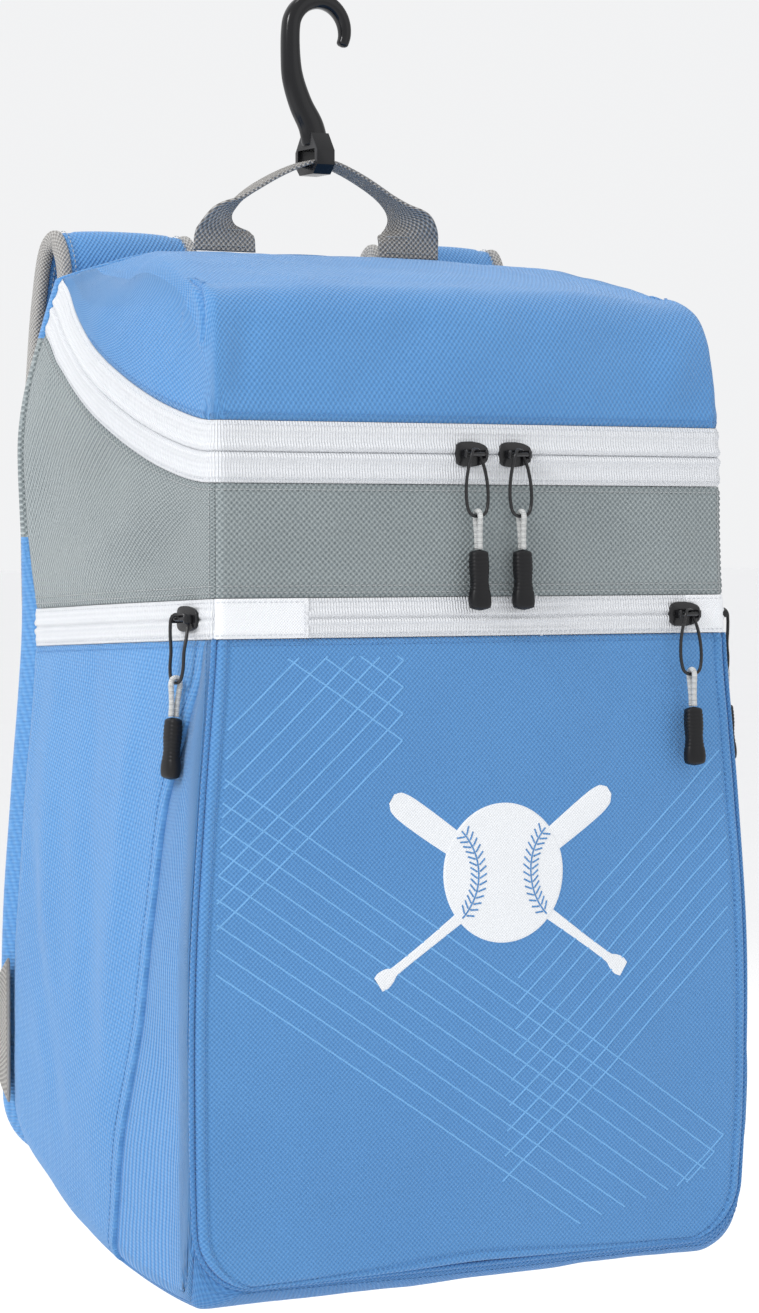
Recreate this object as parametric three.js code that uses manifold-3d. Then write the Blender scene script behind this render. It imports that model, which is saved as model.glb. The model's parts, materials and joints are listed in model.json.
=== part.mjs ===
// A baseball bat backpack that hangs from the hook on its haul loop.
// Millimetres, +Z up. X runs across the bag, the front faces -Y.
// The origin is the inner top of the hook's bend, where the hook bears on a rail.
// Everything is drawn in the bag's own frame, with z = 0 at the lowest cloth,
// and the outer group then lifts the hook's bend to the origin.
import * as THREE from 'three';
import Module from 'manifold-3d';
import { mergeVertices } from 'three/addons/utils/BufferGeometryUtils.js';

const wasm = await Module();
wasm.setup();

// Driving dimensions of the cloth body
const body_height = 541;
const body_width = 334;
const front_depth = 117;
const back_depth = 118;
const side_seam_depth = 86;
const cloth_wall = 2;
const seam_gap = 0.35;
const front_edge_radius = 7;
const front_bulge = 6;
const side_bulge = 5;
const back_widening = 8;
const shoulder_draw = 10;

// Front panel and floor
const front_seam_height = 7;
const front_corner_radius = 32;
const floor_rise = 46;
const box_corner_radius_left = 9;
const box_corner_radius_right = 24;
const box_corner_reach = 12;
const back_corner_radius = 36;

// Back panel, a padded board
const back_pad_round = 13;
const back_pad_bulge = 2;
const seam_land = 8;

// Pocket zippers, around the front and the two sides at one level
const pocket_zip_height = 344;
const pocket_zip_width = 20;
const side_zip_drop = 8;
const left_stop_tab = 46;
const right_stop_tab = 20;

// Main zipper, level across the front and climbing to the back at the sides
const main_zip_height = 427;
const main_zip_width = 31;
const zip_rise = 80;
const zip_rise_power = 1.53;

// Lid
const lid_crest_height = 512;
const lid_crest_power = 1.35;
const lid_front_round = 26;
const lid_side_round = 15;
const lid_shoulder_round_left = 54;
const lid_shoulder_round_right = 26;
const lid_arch = 3;
const lid_round_power = 2.3;
const lid_shoulder_power = 1.3;

// Shoulder straps
const strap_width = 86;
const strap_thickness = 10;
const strap_spacing = 198;
const strap_offset = 6;
const strap_splay = 8;
const binding_width = 6;
const binding_extra = 1.2;
const strap_rise = 12;
const strap_loop_depth = 40;
const strap_length_down = 305;
const strap_root_height = 500;
const strap_bedding = 1;

// Lower strap webbing and its wings
const webbing_width = 25;
const webbing_thickness = 2.2;
const webbing_lead = 40;
const wing_height = 78;
const wing_foot_height = 80;
const wing_reach = 34;

// Haul loop
const haul_width = 38;
const haul_thickness = 2.5;
const haul_spacing = 116;
const haul_offset = 6;
const haul_rise = 54;
const haul_gathered_width = 17;

// Hook
const hook_bend_radius = 17;
const hook_thickness = 10;
const hook_shank = 72;
const hook_shank_broadening = 1.5;
const hook_base_height = 20;
const hook_base_width = 26;
const hook_base_length = 11;
const hook_slot_height = 9;
const hook_slot_clearance = 1.5;

// Zipper sliders and pulls
const slider_length = 19;
const slider_height = 13;
const slider_plate = 2.3;
const slider_seat_gap = 0.3;
const bar_radius = 1.1;
const bar_height = 3.6;
const post_thickness = 1.6;
const post_spacing = 12;
const ring_wire = 0.85;
const ring_length = 33;
const ring_half_width = 6.3;
const cord_radius = 1.4;
const cord_length = 25;
const grip_length = 31;
const grip_width = 12;
const grip_thickness = 8;
const running_gap = 0.3;
const main_slider_left = -6;
const main_slider_right = 20;
const pocket_slider_place = 124;
const left_slider_inset = 22;
const right_slider_inset = 20;
const front_pull_tilt = 3;
const pocket_pull_tilt = 4;
const side_pull_tilt = 4;

// Body outline at each height. Columns: height (share of body_height), width (share of
// half body_width), front (share of front_depth), crown (share of front_bulge), seam (share
// of side_seam_depth) and back (share of back_depth). The yoke wraps the back edge above the
// pocket zippers, so the seam runs further back there, and the top leans in to the front.
const body_sections = [
  { height: 0.000, width: 0.975, front: 0.949, crown: 0.00, seam: 1.00, back: 0.930 },
  { height: 0.075, width: 0.990, front: 0.949, crown: 0.25, seam: 1.00, back: 0.940 },
  { height: 0.151, width: 1.000, front: 0.957, crown: 0.65, seam: 1.00, back: 0.945 },
  { height: 0.306, width: 1.000, front: 0.964, crown: 1.00, seam: 1.00, back: 0.945 },
  { height: 0.453, width: 0.968, front: 0.957, crown: 0.90, seam: 1.00, back: 0.945 },
  { height: 0.591, width: 0.927, front: 0.949, crown: 0.45, seam: 1.00, back: 0.950 },
  { height: 0.640, width: 0.919, front: 0.945, crown: 0.32, seam: 1.03, back: 0.960 },
  { height: 0.685, width: 0.916, front: 0.940, crown: 0.28, seam: 1.13, back: 0.980 },
  { height: 0.730, width: 0.914, front: 0.934, crown: 0.26, seam: 1.21, back: 1.000 },
  { height: 0.786, width: 0.913, front: 0.927, crown: 0.25, seam: 1.25, back: 1.000 },
  { height: 0.850, width: 0.911, front: 0.918, crown: 0.22, seam: 1.23, back: 1.000 },
  { height: 0.884, width: 0.909, front: 0.912, crown: 0.20, seam: 1.18, back: 0.970 },
  { height: 0.934, width: 0.903, front: 0.905, crown: 0.20, seam: 1.06, back: 0.890 },
  { height: 0.976, width: 0.893, front: 0.897, crown: 0.20, seam: 0.95, back: 0.810 },
  { height: 1.000, width: 0.886, front: 0.890, crown: 0.20, seam: 0.88, back: 0.760 },
];

// Floor along the depth. Columns: depth (share from the front line to the side-back seam)
// and height (share of floor_rise).
const floor_sections = [
  { depth: 0.00, height: 0.00 },
  { depth: 0.15, height: 0.02 },
  { depth: 0.30, height: 0.10 },
  { depth: 0.50, height: 0.25 },
  { depth: 0.70, height: 0.46 },
  { depth: 0.85, height: 0.69 },
  { depth: 1.00, height: 1.00 },
];

// Pleat between the front gusset and the side pocket. Columns: drop (share of the way down
// the side) and depth (share from the front line to the side-back seam).
const pleat_rows = [
  { drop: 0.00, depth: 0.045 },
  { drop: 0.06, depth: 0.055 },
  { drop: 0.12, depth: 0.090 },
  { drop: 0.27, depth: 0.168 },
  { drop: 0.48, depth: 0.208 },
  { drop: 0.60, depth: 0.235 },
  { drop: 0.80, depth: 0.330 },
  { drop: 1.00, depth: 0.400 },
];

const colours = {
  cloth_blue: 0x68a6e0,
  cloth_blue_front: 0x5b97d0,
  strap_blue: 0x74aee4,
  yoke_grey: 0x98a4a6,
  zip_white: 0xf1f3f5,
  webbing_grey: 0x9b9893,
  black_plastic: 0x15161a,
  black_metal: 0x1d1e22,
  black_rubber: 0x1a1a1c,
  cord_white: 0xf0f0ee,
};

const finishes = {
  cloth: { roughness: 0.85, metalness: 0 },
  webbing: { roughness: 0.9, metalness: 0 },
  plastic: { roughness: 0.3, metalness: 0 },
  rubber: { roughness: 0.6, metalness: 0 },
  metal: { roughness: 0.35, metalness: 0.6 },
};

// Small helpers
const point = (x, y, z) => new THREE.Vector3(x, y, z);
const mix = (from, to, share) => from + (to - from) * share;
const clamp = THREE.MathUtils.clamp;
const radians = THREE.MathUtils.degToRad;
const shares = (count) => Array.from({ length: count + 1 }, (_, index) => index / count);

// One column of a table, read on a smooth curve through its rows.
function tableAt(rows, key, column, at) {
  const last = rows.length - 1;
  if (at <= rows[0][key]) {
    return rows[0][column];
  }
  if (at >= rows[last][key]) {
    return rows[last][column];
  }
  const row = rows.findIndex((entry) => entry[key] >= at) - 1;
  const slope = (index) => {
    const before = rows[Math.max(index - 1, 0)];
    const after = rows[Math.min(index + 1, last)];
    return (after[column] - before[column]) / (after[key] - before[key]);
  };
  const step = rows[row + 1][key] - rows[row][key];
  const t = (at - rows[row][key]) / step;
  const blend = t * t * (3 - 2 * t);
  const leave = t * (1 - t) * (1 - t) * step * slope(row);
  const arrive = t * t * (1 - t) * step * slope(row + 1);
  return mix(rows[row][column], rows[row + 1][column], blend) + leave - arrive;
}

const half_width = body_width / 2;
const halfWidthAt = (z) => half_width * tableAt(body_sections, 'height', 'width', z / body_height);
const frontAt = (z) => -front_depth * tableAt(body_sections, 'height', 'front', z / body_height);
const backAt = (z) => back_depth * tableAt(body_sections, 'height', 'back', z / body_height);
const seamAt = (z) => side_seam_depth * tableAt(body_sections, 'height', 'seam', z / body_height);
const crownAt = (z) => front_bulge * tableAt(body_sections, 'height', 'crown', z / body_height);

// Below the pocket zippers the seam between the sides and the padded back is upright.
const seam_y = side_seam_depth;
const front_line = frontAt(0);
const depthShare = (y) => (y - front_line) / (seam_y - front_line);
const depthPlace = (share) => mix(front_line, seam_y, share);

// How far the rounded front rim has drawn in, at a distance behind the front.
function rimInset(behind) {
  const left = front_edge_radius - clamp(behind, 0, front_edge_radius);
  return front_edge_radius - Math.sqrt(front_edge_radius ** 2 - left ** 2);
}

function sideBulgeAt(y, z) {
  const start = frontAt(z) + front_edge_radius;
  const end = seamAt(z);
  const share = clamp((y - start) / (end - start), 0, 1);
  const high = THREE.MathUtils.smoothstep(z, main_zip_height, body_height);
  const far = THREE.MathUtils.smoothstep(y, 0, end);
  const swell = side_bulge * Math.sin(Math.PI * share) ** 2;
  return swell + back_widening * share - shoulder_draw * high * far;
}

// The upright skin above the pocket zippers. u runs 0 to 1 along the left side from the back,
// 1 to 2 round the front left edge, 2 to 3 across the front, and on to 5 in mirror image.
function skinPoint(u, z) {
  if (u > 2.5) {
    const mirrored = skinPoint(5 - u, z);
    return point(-mirrored.x, mirrored.y, mirrored.z);
  }
  const half = halfWidthAt(z);
  const front = frontAt(z);
  const flat = half - front_edge_radius;
  if (u <= 1) {
    const y = mix(seamAt(z), front + front_edge_radius, u);
    return point(-half - sideBulgeAt(y, z), y, z);
  }
  if (u <= 2) {
    const angle = (u - 1) * Math.PI / 2;
    const x = -flat - front_edge_radius * Math.cos(angle);
    return point(x, front + front_edge_radius * (1 - Math.sin(angle)), z);
  }
  const x = mix(-flat, flat, u - 2);
  return point(x, front - crownAt(z) * (1 - (x / flat) ** 2), z);
}

// Height of the main zipper's middle, which depends on the depth alone.
function zipMiddleAt(y) {
  const start = frontAt(main_zip_height) + front_edge_radius;
  const share = Math.max((y - start) / (seam_y - start), 0);
  return main_zip_height + zip_rise * share ** zip_rise_power;
}

// Half the tape's height as it stands, taller where the zipper climbs.
function zipHalfAt(y) {
  const slope = zipMiddleAt(y + 1) - zipMiddleAt(y);
  return main_zip_width / 2 * Math.hypot(1, slope);
}

// The height at which a climbing line meets the skin's place u.
function meetSkin(u, heightAt) {
  let z = main_zip_height;
  for (let turn = 0; turn < 12; turn += 1) {
    z = heightAt(skinPoint(u, z).y);
  }
  return z;
}
const zipMiddle = (u) => meetSkin(u, zipMiddleAt);
const zipTop = (u) => meetSkin(u, (y) => zipMiddleAt(y) + zipHalfAt(y));
const zipBottom = (u) => meetSkin(u, (y) => zipMiddleAt(y) - zipHalfAt(y));

// Middle of the pocket zippers, which drop a little towards the back.
function pocketZipMiddle(u) {
  const y = skinPoint(u, pocket_zip_height).y;
  return pocket_zip_height - side_zip_drop * clamp(depthShare(y), 0, 1);
}
const pocketZipTop = (u) => pocketZipMiddle(u) + pocket_zip_width / 2;
const pocketZipBottom = (u) => pocketZipMiddle(u) - pocket_zip_width / 2;

// The power that makes the lid's rim turn the corner as tightly as the skin's edge does.
const rim_share = 1 - Math.SQRT1_2;
const lid_mean_round = (lid_front_round + lid_side_round) / 2;
const lid_corner_power = -Math.LN2 / Math.log(1 - front_edge_radius * rim_share / lid_mean_round);
const hinge_y = seamAt(body_height);

// Height of the lid over a place in plan. Its sides are upright in front. Behind, the left
// shoulder is slack and the right one is full.
function lidHeight(x, y) {
  const base = zipMiddleAt(y) + zipHalfAt(y);
  const half = halfWidthAt(base) + sideBulgeAt(y, base);
  const flat = halfWidthAt(base) - front_edge_radius;
  const front = frontAt(base) - crownAt(base) * Math.max(1 - (x / flat) ** 2, 0);
  const ahead = Math.max(hinge_y - y, 0) / (hinge_y - front - lid_front_round);
  const fall = (body_height - lid_crest_height) * ahead ** lid_crest_power;
  const top = body_height - fall - lid_arch * (x / half) ** 2;
  const far = THREE.MathUtils.smoothstep(y, front + lid_front_round, hinge_y);
  const round = mix(lid_side_round, x < 0 ? lid_shoulder_round_left : lid_shoulder_round_right, far);
  const side = 1 - clamp((half - Math.abs(x)) / round, 0, 1);
  const fore = 1 - clamp((y - front) / lid_front_round, 0, 1);
  const rim = (side ** lid_corner_power + fore ** lid_corner_power) ** (1 / lid_corner_power);
  const power = x < 0 ? mix(lid_round_power, lid_shoulder_power, far) : lid_round_power;
  const rise = (1 - clamp(rim, 0, 1) ** power) ** (1 / power);
  return base + Math.max(top - base, 0) * rise;
}

// The lid's end over a place across: the seam with the back panel.
function hingePoint(x) {
  let y = hinge_y;
  for (let turn = 0; turn < 12; turn += 1) {
    y = seamAt(lidHeight(x, y));
  }
  return point(x, y, lidHeight(x, y));
}

// Floor height and the radius between side and floor, along the depth.
function floorAt(y) {
  const lift = front_seam_height * (1 - clamp((y - front_line) / box_corner_reach, 0, 1)) ** 2;
  return lift + floor_rise * tableAt(floor_sections, 'depth', 'height', depthShare(y));
}

function cornerRadiusAt(y, side) {
  const boxed = side < 0 ? box_corner_radius_left : box_corner_radius_right;
  const near = clamp((y - front_line) / box_corner_reach, 0, 1);
  const far = clamp(depthShare(y), 0, 1);
  return mix(mix(front_corner_radius, boxed, near * (2 - near)), back_corner_radius, far ** 1.5);
}

// The cloth under the pocket zippers, as U outlines stacked along the depth.
// w runs 0 to 1 down the side, 1 to 2 round the corner, 2 to 3 to the middle of the floor.
function gussetPoint(w, y, side) {
  if (w > 3) {
    return gussetPoint(6 - w, y, -side);
  }
  const floor = floorAt(y);
  const radius = cornerRadiusAt(y, side);
  const corner_z = floor + radius;
  if (w <= 1) {
    const top = pocket_zip_height - pocket_zip_width / 2 - side_zip_drop * clamp(depthShare(y), 0, 1);
    const z = mix(top, corner_z, w);
    return point(side * (halfWidthAt(z) + sideBulgeAt(y, z) - rimInset(y - frontAt(z))), y, z);
  }
  const inset = rimInset(y - front_line);
  const centre_x = halfWidthAt(corner_z) + sideBulgeAt(y, corner_z) - radius;
  if (w <= 2) {
    const angle = (w - 1) * Math.PI / 2;
    const reach = radius - inset;
    return point(side * (centre_x + reach * Math.cos(angle)), y, corner_z - reach * Math.sin(angle));
  }
  return point(side * mix(centre_x, 0, w - 2), y, floor + inset);
}

// Where the side cloth ends and the bottom panel begins, round the corner.
function cornerSeam(y) {
  const near = clamp((y - front_line) / box_corner_reach, 0, 1);
  return mix(1.12, 1.5, near);
}

// Unit normal of a surface of two parameters, pointing away from the middle of the bag.
const bag_middle = point(0, 0, body_height / 2);
function surfaceNormal(surface, a, b, step_a, step_b) {
  const along_a = surface(a + step_a, b).sub(surface(a - step_a, b));
  const along_b = surface(a, b + step_b).sub(surface(a, b - step_b));
  const normal = along_a.cross(along_b).normalize();
  const outward = surface(a, b).sub(bag_middle);
  return normal.dot(outward) < 0 ? normal.negate() : normal;
}

// A closed body from a list of triangles over shared points, turned to face out.
function closedGeometry(points, faces) {
  let volume = 0;
  for (const [a, b, c] of faces) {
    volume += points[a].dot(points[b].clone().cross(points[c]));
  }
  const positions = [];
  for (const [a, b, c] of faces) {
    const order = volume < 0 ? [a, c, b] : [a, b, c];
    for (const index of order) {
      positions.push(points[index].x, points[index].y, points[index].z);
    }
  }
  const geometry = new THREE.BufferGeometry();
  geometry.setAttribute('position', new THREE.Float32BufferAttribute(positions, 3));
  geometry.computeVertexNormals();
  return geometry;
}

// A sheet of cloth from a grid of { place, normal }: its outer face, its inner face and its rim.
function sheetGeometry(grid, wall = cloth_wall, lift = 0) {
  const rows = grid.length;
  const columns = grid[0].length;
  const points = [];
  for (const depth of [lift, lift - wall]) {
    for (const row of grid) {
      for (const { place, normal } of row) {
        points.push(place.clone().addScaledVector(normal, depth));
      }
    }
  }
  const outer = (i, j) => i * columns + j;
  const inner = (i, j) => rows * columns + i * columns + j;
  const faces = [];
  const quad = (a, b, c, d) => faces.push([a, b, c], [a, c, d]);
  for (let i = 0; i < rows - 1; i += 1) {
    for (let j = 0; j < columns - 1; j += 1) {
      quad(outer(i, j), outer(i, j + 1), outer(i + 1, j + 1), outer(i + 1, j));
      quad(inner(i, j), inner(i + 1, j), inner(i + 1, j + 1), inner(i, j + 1));
    }
  }
  for (let j = 0; j < columns - 1; j += 1) {
    quad(outer(0, j), inner(0, j), inner(0, j + 1), outer(0, j + 1));
    quad(outer(rows - 1, j), outer(rows - 1, j + 1), inner(rows - 1, j + 1), inner(rows - 1, j));
  }
  for (let i = 0; i < rows - 1; i += 1) {
    quad(outer(i, 0), outer(i + 1, 0), inner(i + 1, 0), inner(i, 0));
    quad(outer(i, columns - 1), inner(i, columns - 1), inner(i + 1, columns - 1), outer(i + 1, columns - 1));
  }
  return closedGeometry(points, faces);
}

// A closed body lofted through rings of points, with a fan over each end.
function loftGeometry(rings, closed = false) {
  const count = rings[0].length;
  const points = rings.flat().map((place) => place.clone());
  const faces = [];
  const spans = closed ? rings.length : rings.length - 1;
  for (let i = 0; i < spans; i += 1) {
    const here = i * count;
    const next = ((i + 1) % rings.length) * count;
    for (let j = 0; j < count; j += 1) {
      const k = (j + 1) % count;
      faces.push([here + j, here + k, next + k], [here + j, next + k, next + j]);
    }
  }
  if (!closed) {
    for (const [start, flip] of [[0, false], [(rings.length - 1) * count, true]]) {
      const middle = point(0, 0, 0);
      for (let j = 0; j < count; j += 1) {
        middle.addScaledVector(points[start + j], 1 / count);
      }
      points.push(middle);
      const hub = points.length - 1;
      for (let j = 0; j < count; j += 1) {
        const k = (j + 1) % count;
        faces.push(flip ? [hub, start + j, start + k] : [hub, start + k, start + j]);
      }
    }
  }
  return closedGeometry(points, faces);
}

// A rounded rectangle as eight points, on the axes across and out.
function roundedSection(centre, across, out, width, thickness) {
  const corner = Math.min(width, thickness) * 0.28;
  const a = width / 2;
  const b = thickness / 2;
  const corners = [
    [a, -b + corner], [a, b - corner], [a - corner, b], [-a + corner, b],
    [-a, b - corner], [-a, -b + corner], [-a + corner, -b], [a - corner, -b],
  ];
  return corners.map(([i, j]) => centre.clone().addScaledVector(across, i).addScaledVector(out, j));
}

// An ellipse as a ring of points.
function ovalSection(centre, across, out, half_across, half_out, sides) {
  return shares(sides).slice(0, sides).map((share) => {
    const angle = share * 2 * Math.PI;
    return centre.clone().addScaledVector(across, half_across * Math.cos(angle))
      .addScaledVector(out, half_out * Math.sin(angle));
  });
}

// A round wire along a list of places, with its side direction kept near a given axis.
function wireGeometry(places, radius, sides, axis, closed = false) {
  const count = places.length;
  const rings = places.map((place, index) => {
    const before = places[closed ? (index + count - 1) % count : Math.max(index - 1, 0)];
    const after = places[closed ? (index + 1) % count : Math.min(index + 1, count - 1)];
    const tangent = after.clone().sub(before).normalize();
    const across = axis.clone().addScaledVector(tangent, -axis.dot(tangent)).normalize();
    const out = tangent.clone().cross(across);
    return ovalSection(place, across, out, radius, radius, sides);
  });
  return loftGeometry(rings, closed);
}

function joinSolids(geometries) {
  const solids = geometries.map((source) => {
    const bare = new THREE.BufferGeometry();
    bare.setAttribute('position', source.getAttribute('position').clone());
    if (source.index) {
      bare.setIndex(source.index.clone());
    }
    const merged = mergeVertices(bare, 1e-5);
    return new wasm.Manifold(new wasm.Mesh({
      numProp: 3,
      vertProperties: new Float32Array(merged.attributes.position.array),
      triVerts: new Uint32Array(merged.index.array),
    }));
  });
  const joined = solids.slice(1).reduce((whole, solid) => whole.add(solid), solids[0]);
  const mesh = joined.getMesh();
  const geometry = new THREE.BufferGeometry();
  geometry.setAttribute('position', new THREE.BufferAttribute(mesh.vertProperties, 3));
  geometry.setIndex(new THREE.BufferAttribute(mesh.triVerts, 1));
  const separate = geometry.toNonIndexed();
  separate.computeVertexNormals();
  return separate;
}

const bag = new THREE.Group();

function addMesh(name, geometry, colour, finish, parent = bag) {
  const mesh = new THREE.Mesh(geometry, new THREE.MeshStandardMaterial({ color: colour, ...finish }));
  mesh.name = name;
  parent.add(mesh);
  return mesh;
}

// A normal with its part along the depth taken out, for edges that end at the back seam.
const flattened = (normal) => point(normal.x, 0, normal.z).normalize();

// A strip of the upright skin between two heights, over a list of u values.
function skinSheet(us, bottom, top, rows) {
  return shares(rows).map((share) => us.map((u) => {
    const z = mix(bottom(u), top(u), share);
    const place = skinPoint(u, z);
    const normal = surfaceNormal(skinPoint, clamp(u, 0.01, 4.99), z, 0.01, 1);
    return { place, normal: u === 0 || u === 5 ? flattened(normal) : normal };
  }));
}

// u values of the left side, front and right side, denser near the upright edges.
const edge_trim = seam_gap / 2 / front_edge_radius;
const side_facet = 0.8;
const left_us = [0, 0.14, 0.3, 0.46, 0.62, side_facet, 1, 1.25, 1.5 - edge_trim];
const front_us = [1.5 + edge_trim, 1.75, 2, 2.14, 2.32, 2.5, 2.68, 2.86, 3, 3.25, 3.5 - edge_trim];
const right_us = left_us.map((u) => 5 - u).reverse();
const round_us = [...left_us.slice(0, -1), 1.5, ...front_us.slice(1, -1), 3.5, ...right_us.slice(1)];

function buildZipTapes() {
  const gap = seam_gap / 2;
  const lower = skinSheet(round_us, (u) => zipBottom(u), (u) => zipMiddle(u) - gap, 1);
  const upper = skinSheet(round_us, (u) => zipMiddle(u) + gap, (u) => zipTop(u), 1);
  addMesh('main_zipper_lower_tape', sheetGeometry(lower), colours.zip_white, finishes.cloth);
  addMesh('main_zipper_upper_tape', sheetGeometry(upper), colours.zip_white, finishes.cloth);

  // The front pocket zipper lies between a long plain tab and a short one.
  const flat = halfWidthAt(pocket_zip_height) - front_edge_radius;
  const placeOf = (x) => 2 + (x + flat) / (2 * flat);
  const left_end = placeOf(-flat + left_stop_tab);
  const right_end = placeOf(flat - right_stop_tab);
  const slit = seam_gap / (2 * flat);
  const strip = (name, us) => {
    const grid = skinSheet(us, pocketZipBottom, pocketZipTop, 1);
    addMesh(name, sheetGeometry(grid), colours.zip_white, finishes.cloth);
  };
  const between = (from, to, count) => shares(count).map((share) => mix(from, to, share));
  strip('left_stop_tab', [1.5 + edge_trim, 1.75, ...between(2, left_end - slit, 2)]);
  strip('front_pocket_zipper', between(left_end, right_end, 8));
  strip('right_stop_tab', [...between(right_end + slit, 3, 2), 3.25, 3.5 - edge_trim]);
  strip('left_side_zipper', left_us);
  strip('right_side_zipper', right_us);
}

const yoke_rows = 6;
function buildYoke() {
  const bottom = (u) => pocketZipTop(u) + seam_gap;
  const top = (u) => zipBottom(u) - seam_gap;
  for (const [name, us] of [['yoke_left', left_us], ['yoke_front', front_us], ['yoke_right', right_us]]) {
    addMesh(name, sheetGeometry(skinSheet(us, bottom, top, yoke_rows)), colours.yoke_grey, finishes.cloth);
  }
}

// The lid runs from the main zipper's upper edge over to the seam above the back.
const lid_hinge_share = 0.8;
const lid_first_step = 8;
const lid_rim_steps = [0, 0.03, 0.1, 0.24, 0.46, 0.74, 1];
const lid_rows = 10;
function lidHingeAcross(u) {
  const inner = halfWidthAt(body_height) * lid_hinge_share;
  const outer = -skinPoint(0, zipTop(0)).x - lid_first_step;
  if (u < 2) {
    return -mix(outer, inner, u / 2);
  }
  if (u > 3) {
    return mix(inner, outer, (u - 3) / 2);
  }
  return mix(-inner, inner, u - 2);
}

// A normal that climbs no more than a given amount, so that a wall stays above its seam.
function levelled(normal, climb) {
  const rise = clamp(normal.z, 0, clamp(climb, 0, 1));
  const level = Math.hypot(normal.x, normal.y);
  if (rise === normal.z || level === 0) {
    return normal;
  }
  const stretch = Math.sqrt(1 - rise ** 2) / level;
  return point(normal.x * stretch, normal.y * stretch, rise);
}

function lidColumns() {
  return round_us.map((u) => {
    const start = skinPoint(u, zipTop(u) + seam_gap);
    const end = hingePoint(lidHingeAcross(u));
    const length = Math.hypot(end.x - start.x, end.y - start.y);
    const shared = Math.min(lid_front_round / length, 0.55);
    const column = [];
    for (let row = 0; row < lid_rows; row += 1) {
      const rim = row < lid_rim_steps.length;
      const rest = (row - lid_rim_steps.length + 1) / (lid_rows - lid_rim_steps.length);
      const t = rim ? lid_rim_steps[row] * shared : mix(shared, 1, rest);
      const x = mix(start.x, end.x, t);
      const y = mix(start.y, end.y, t);
      let place = point(x, y, Math.max(lidHeight(x, y), start.z));
      let normal = surfaceNormal((a, b) => point(a, b, lidHeight(a, b)), x, y, 0.4, 0.4);
      if (row === 0) {
        place = start;
        normal = surfaceNormal(skinPoint, clamp(u, 0.01, 4.99), zipTop(u), 0.01, 1);
      }
      const at_seam = row === lid_rows - 1 || u === 0 || u === 5;
      if (at_seam) {
        normal = flattened(normal);
      }
      column.push({ place, normal: levelled(normal, (place.z - start.z) / cloth_wall) });
    }
    return column;
  });
}
const lid_columns = lidColumns();

function buildLid() {
  addMesh('lid_panel', sheetGeometry(lid_columns), colours.cloth_blue, finishes.cloth);
}

// The front panel: rows of points inside an outline with round lower corners,
// crowned in the middle and turned back at its rim.
function buildFrontPanel() {
  const inset = front_edge_radius * rim_share;
  const radius = front_corner_radius - inset;
  const low = front_seam_height + inset;
  const high = pocket_zip_height - pocket_zip_width / 2 - seam_gap;
  const heights = [0, 0.04, 0.12, 0.25, 0.45, 0.7, 1].map((share) => low + radius * share);
  heights.push(...shares(6).slice(1).map((share) => mix(low + radius, high, share)));
  const frontSurface = (x, z) => {
    const half = halfWidthAt(z);
    const flat = half - front_edge_radius;
    const over_x = Math.abs(x) - (half - front_corner_radius);
    const over_z = front_seam_height + front_corner_radius - z;
    let edge = Math.min(half - Math.abs(x), z - front_seam_height);
    if (over_x > 0 && over_z > 0) {
      edge = front_corner_radius - Math.hypot(over_x, over_z);
    }
    const crown = crownAt(z) * Math.max(1 - (x / flat) ** 2, 0);
    return point(x, frontAt(z) - crown + rimInset(edge), z);
  };
  const acrosses = [-1, -0.98, -0.94, -0.7, -0.36, 0, 0.36, 0.7, 0.94, 0.98, 1];
  const grid = heights.map((z) => {
    const under = clamp((low + radius - z) / radius, 0, 1);
    const half = halfWidthAt(z) - inset - radius * (1 - Math.sqrt(1 - under ** 2)) - seam_gap / 2;
    return acrosses.map((across) => {
      const x = across * half;
      const lift = z === heights[0] ? seam_gap / 2 : 0;
      const place = frontSurface(x, z + lift);
      return { place, normal: surfaceNormal(frontSurface, x, z + lift, 0.3, 0.3) };
    });
  });
  addMesh('front_panel', sheetGeometry(grid), colours.cloth_blue_front, finishes.cloth);
}

// Side cloth and bottom panel, all cut from the stacked U outlines.
function gussetEntry(w, y, side) {
  const place = gussetPoint(w, y, side);
  const surface = (a, b) => gussetPoint(a, b, side);
  const normal = surfaceNormal(surface, w, Math.min(y, seam_y - 1), 0.004, 0.5);
  return { place, normal: seam_y - y < 0.01 ? flattened(normal) : normal };
}

const front_rim_y = (w) => {
  const low = front_seam_height + front_corner_radius;
  const z = mix(pocket_zip_height - pocket_zip_width / 2, low, clamp(w, 0, 1));
  return frontAt(z) + front_edge_radius * rim_share;
};
const pleatAt = (w) => depthPlace(tableAt(pleat_rows, 'drop', 'depth', clamp(w, 0, 1)));

// Columns of the gusset: reach (behind the front rim), kept within part (share of its width).
const gusset_columns = [
  { reach: 0, part: 0 },
  { reach: 1.6, part: 0.12 },
  { reach: 4.9, part: 0.3 },
  { reach: box_corner_reach, part: 0.5 },
  { reach: 40, part: 0.7 },
  { reach: body_height, part: 1 },
];
const pocket_columns = 5;

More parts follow.
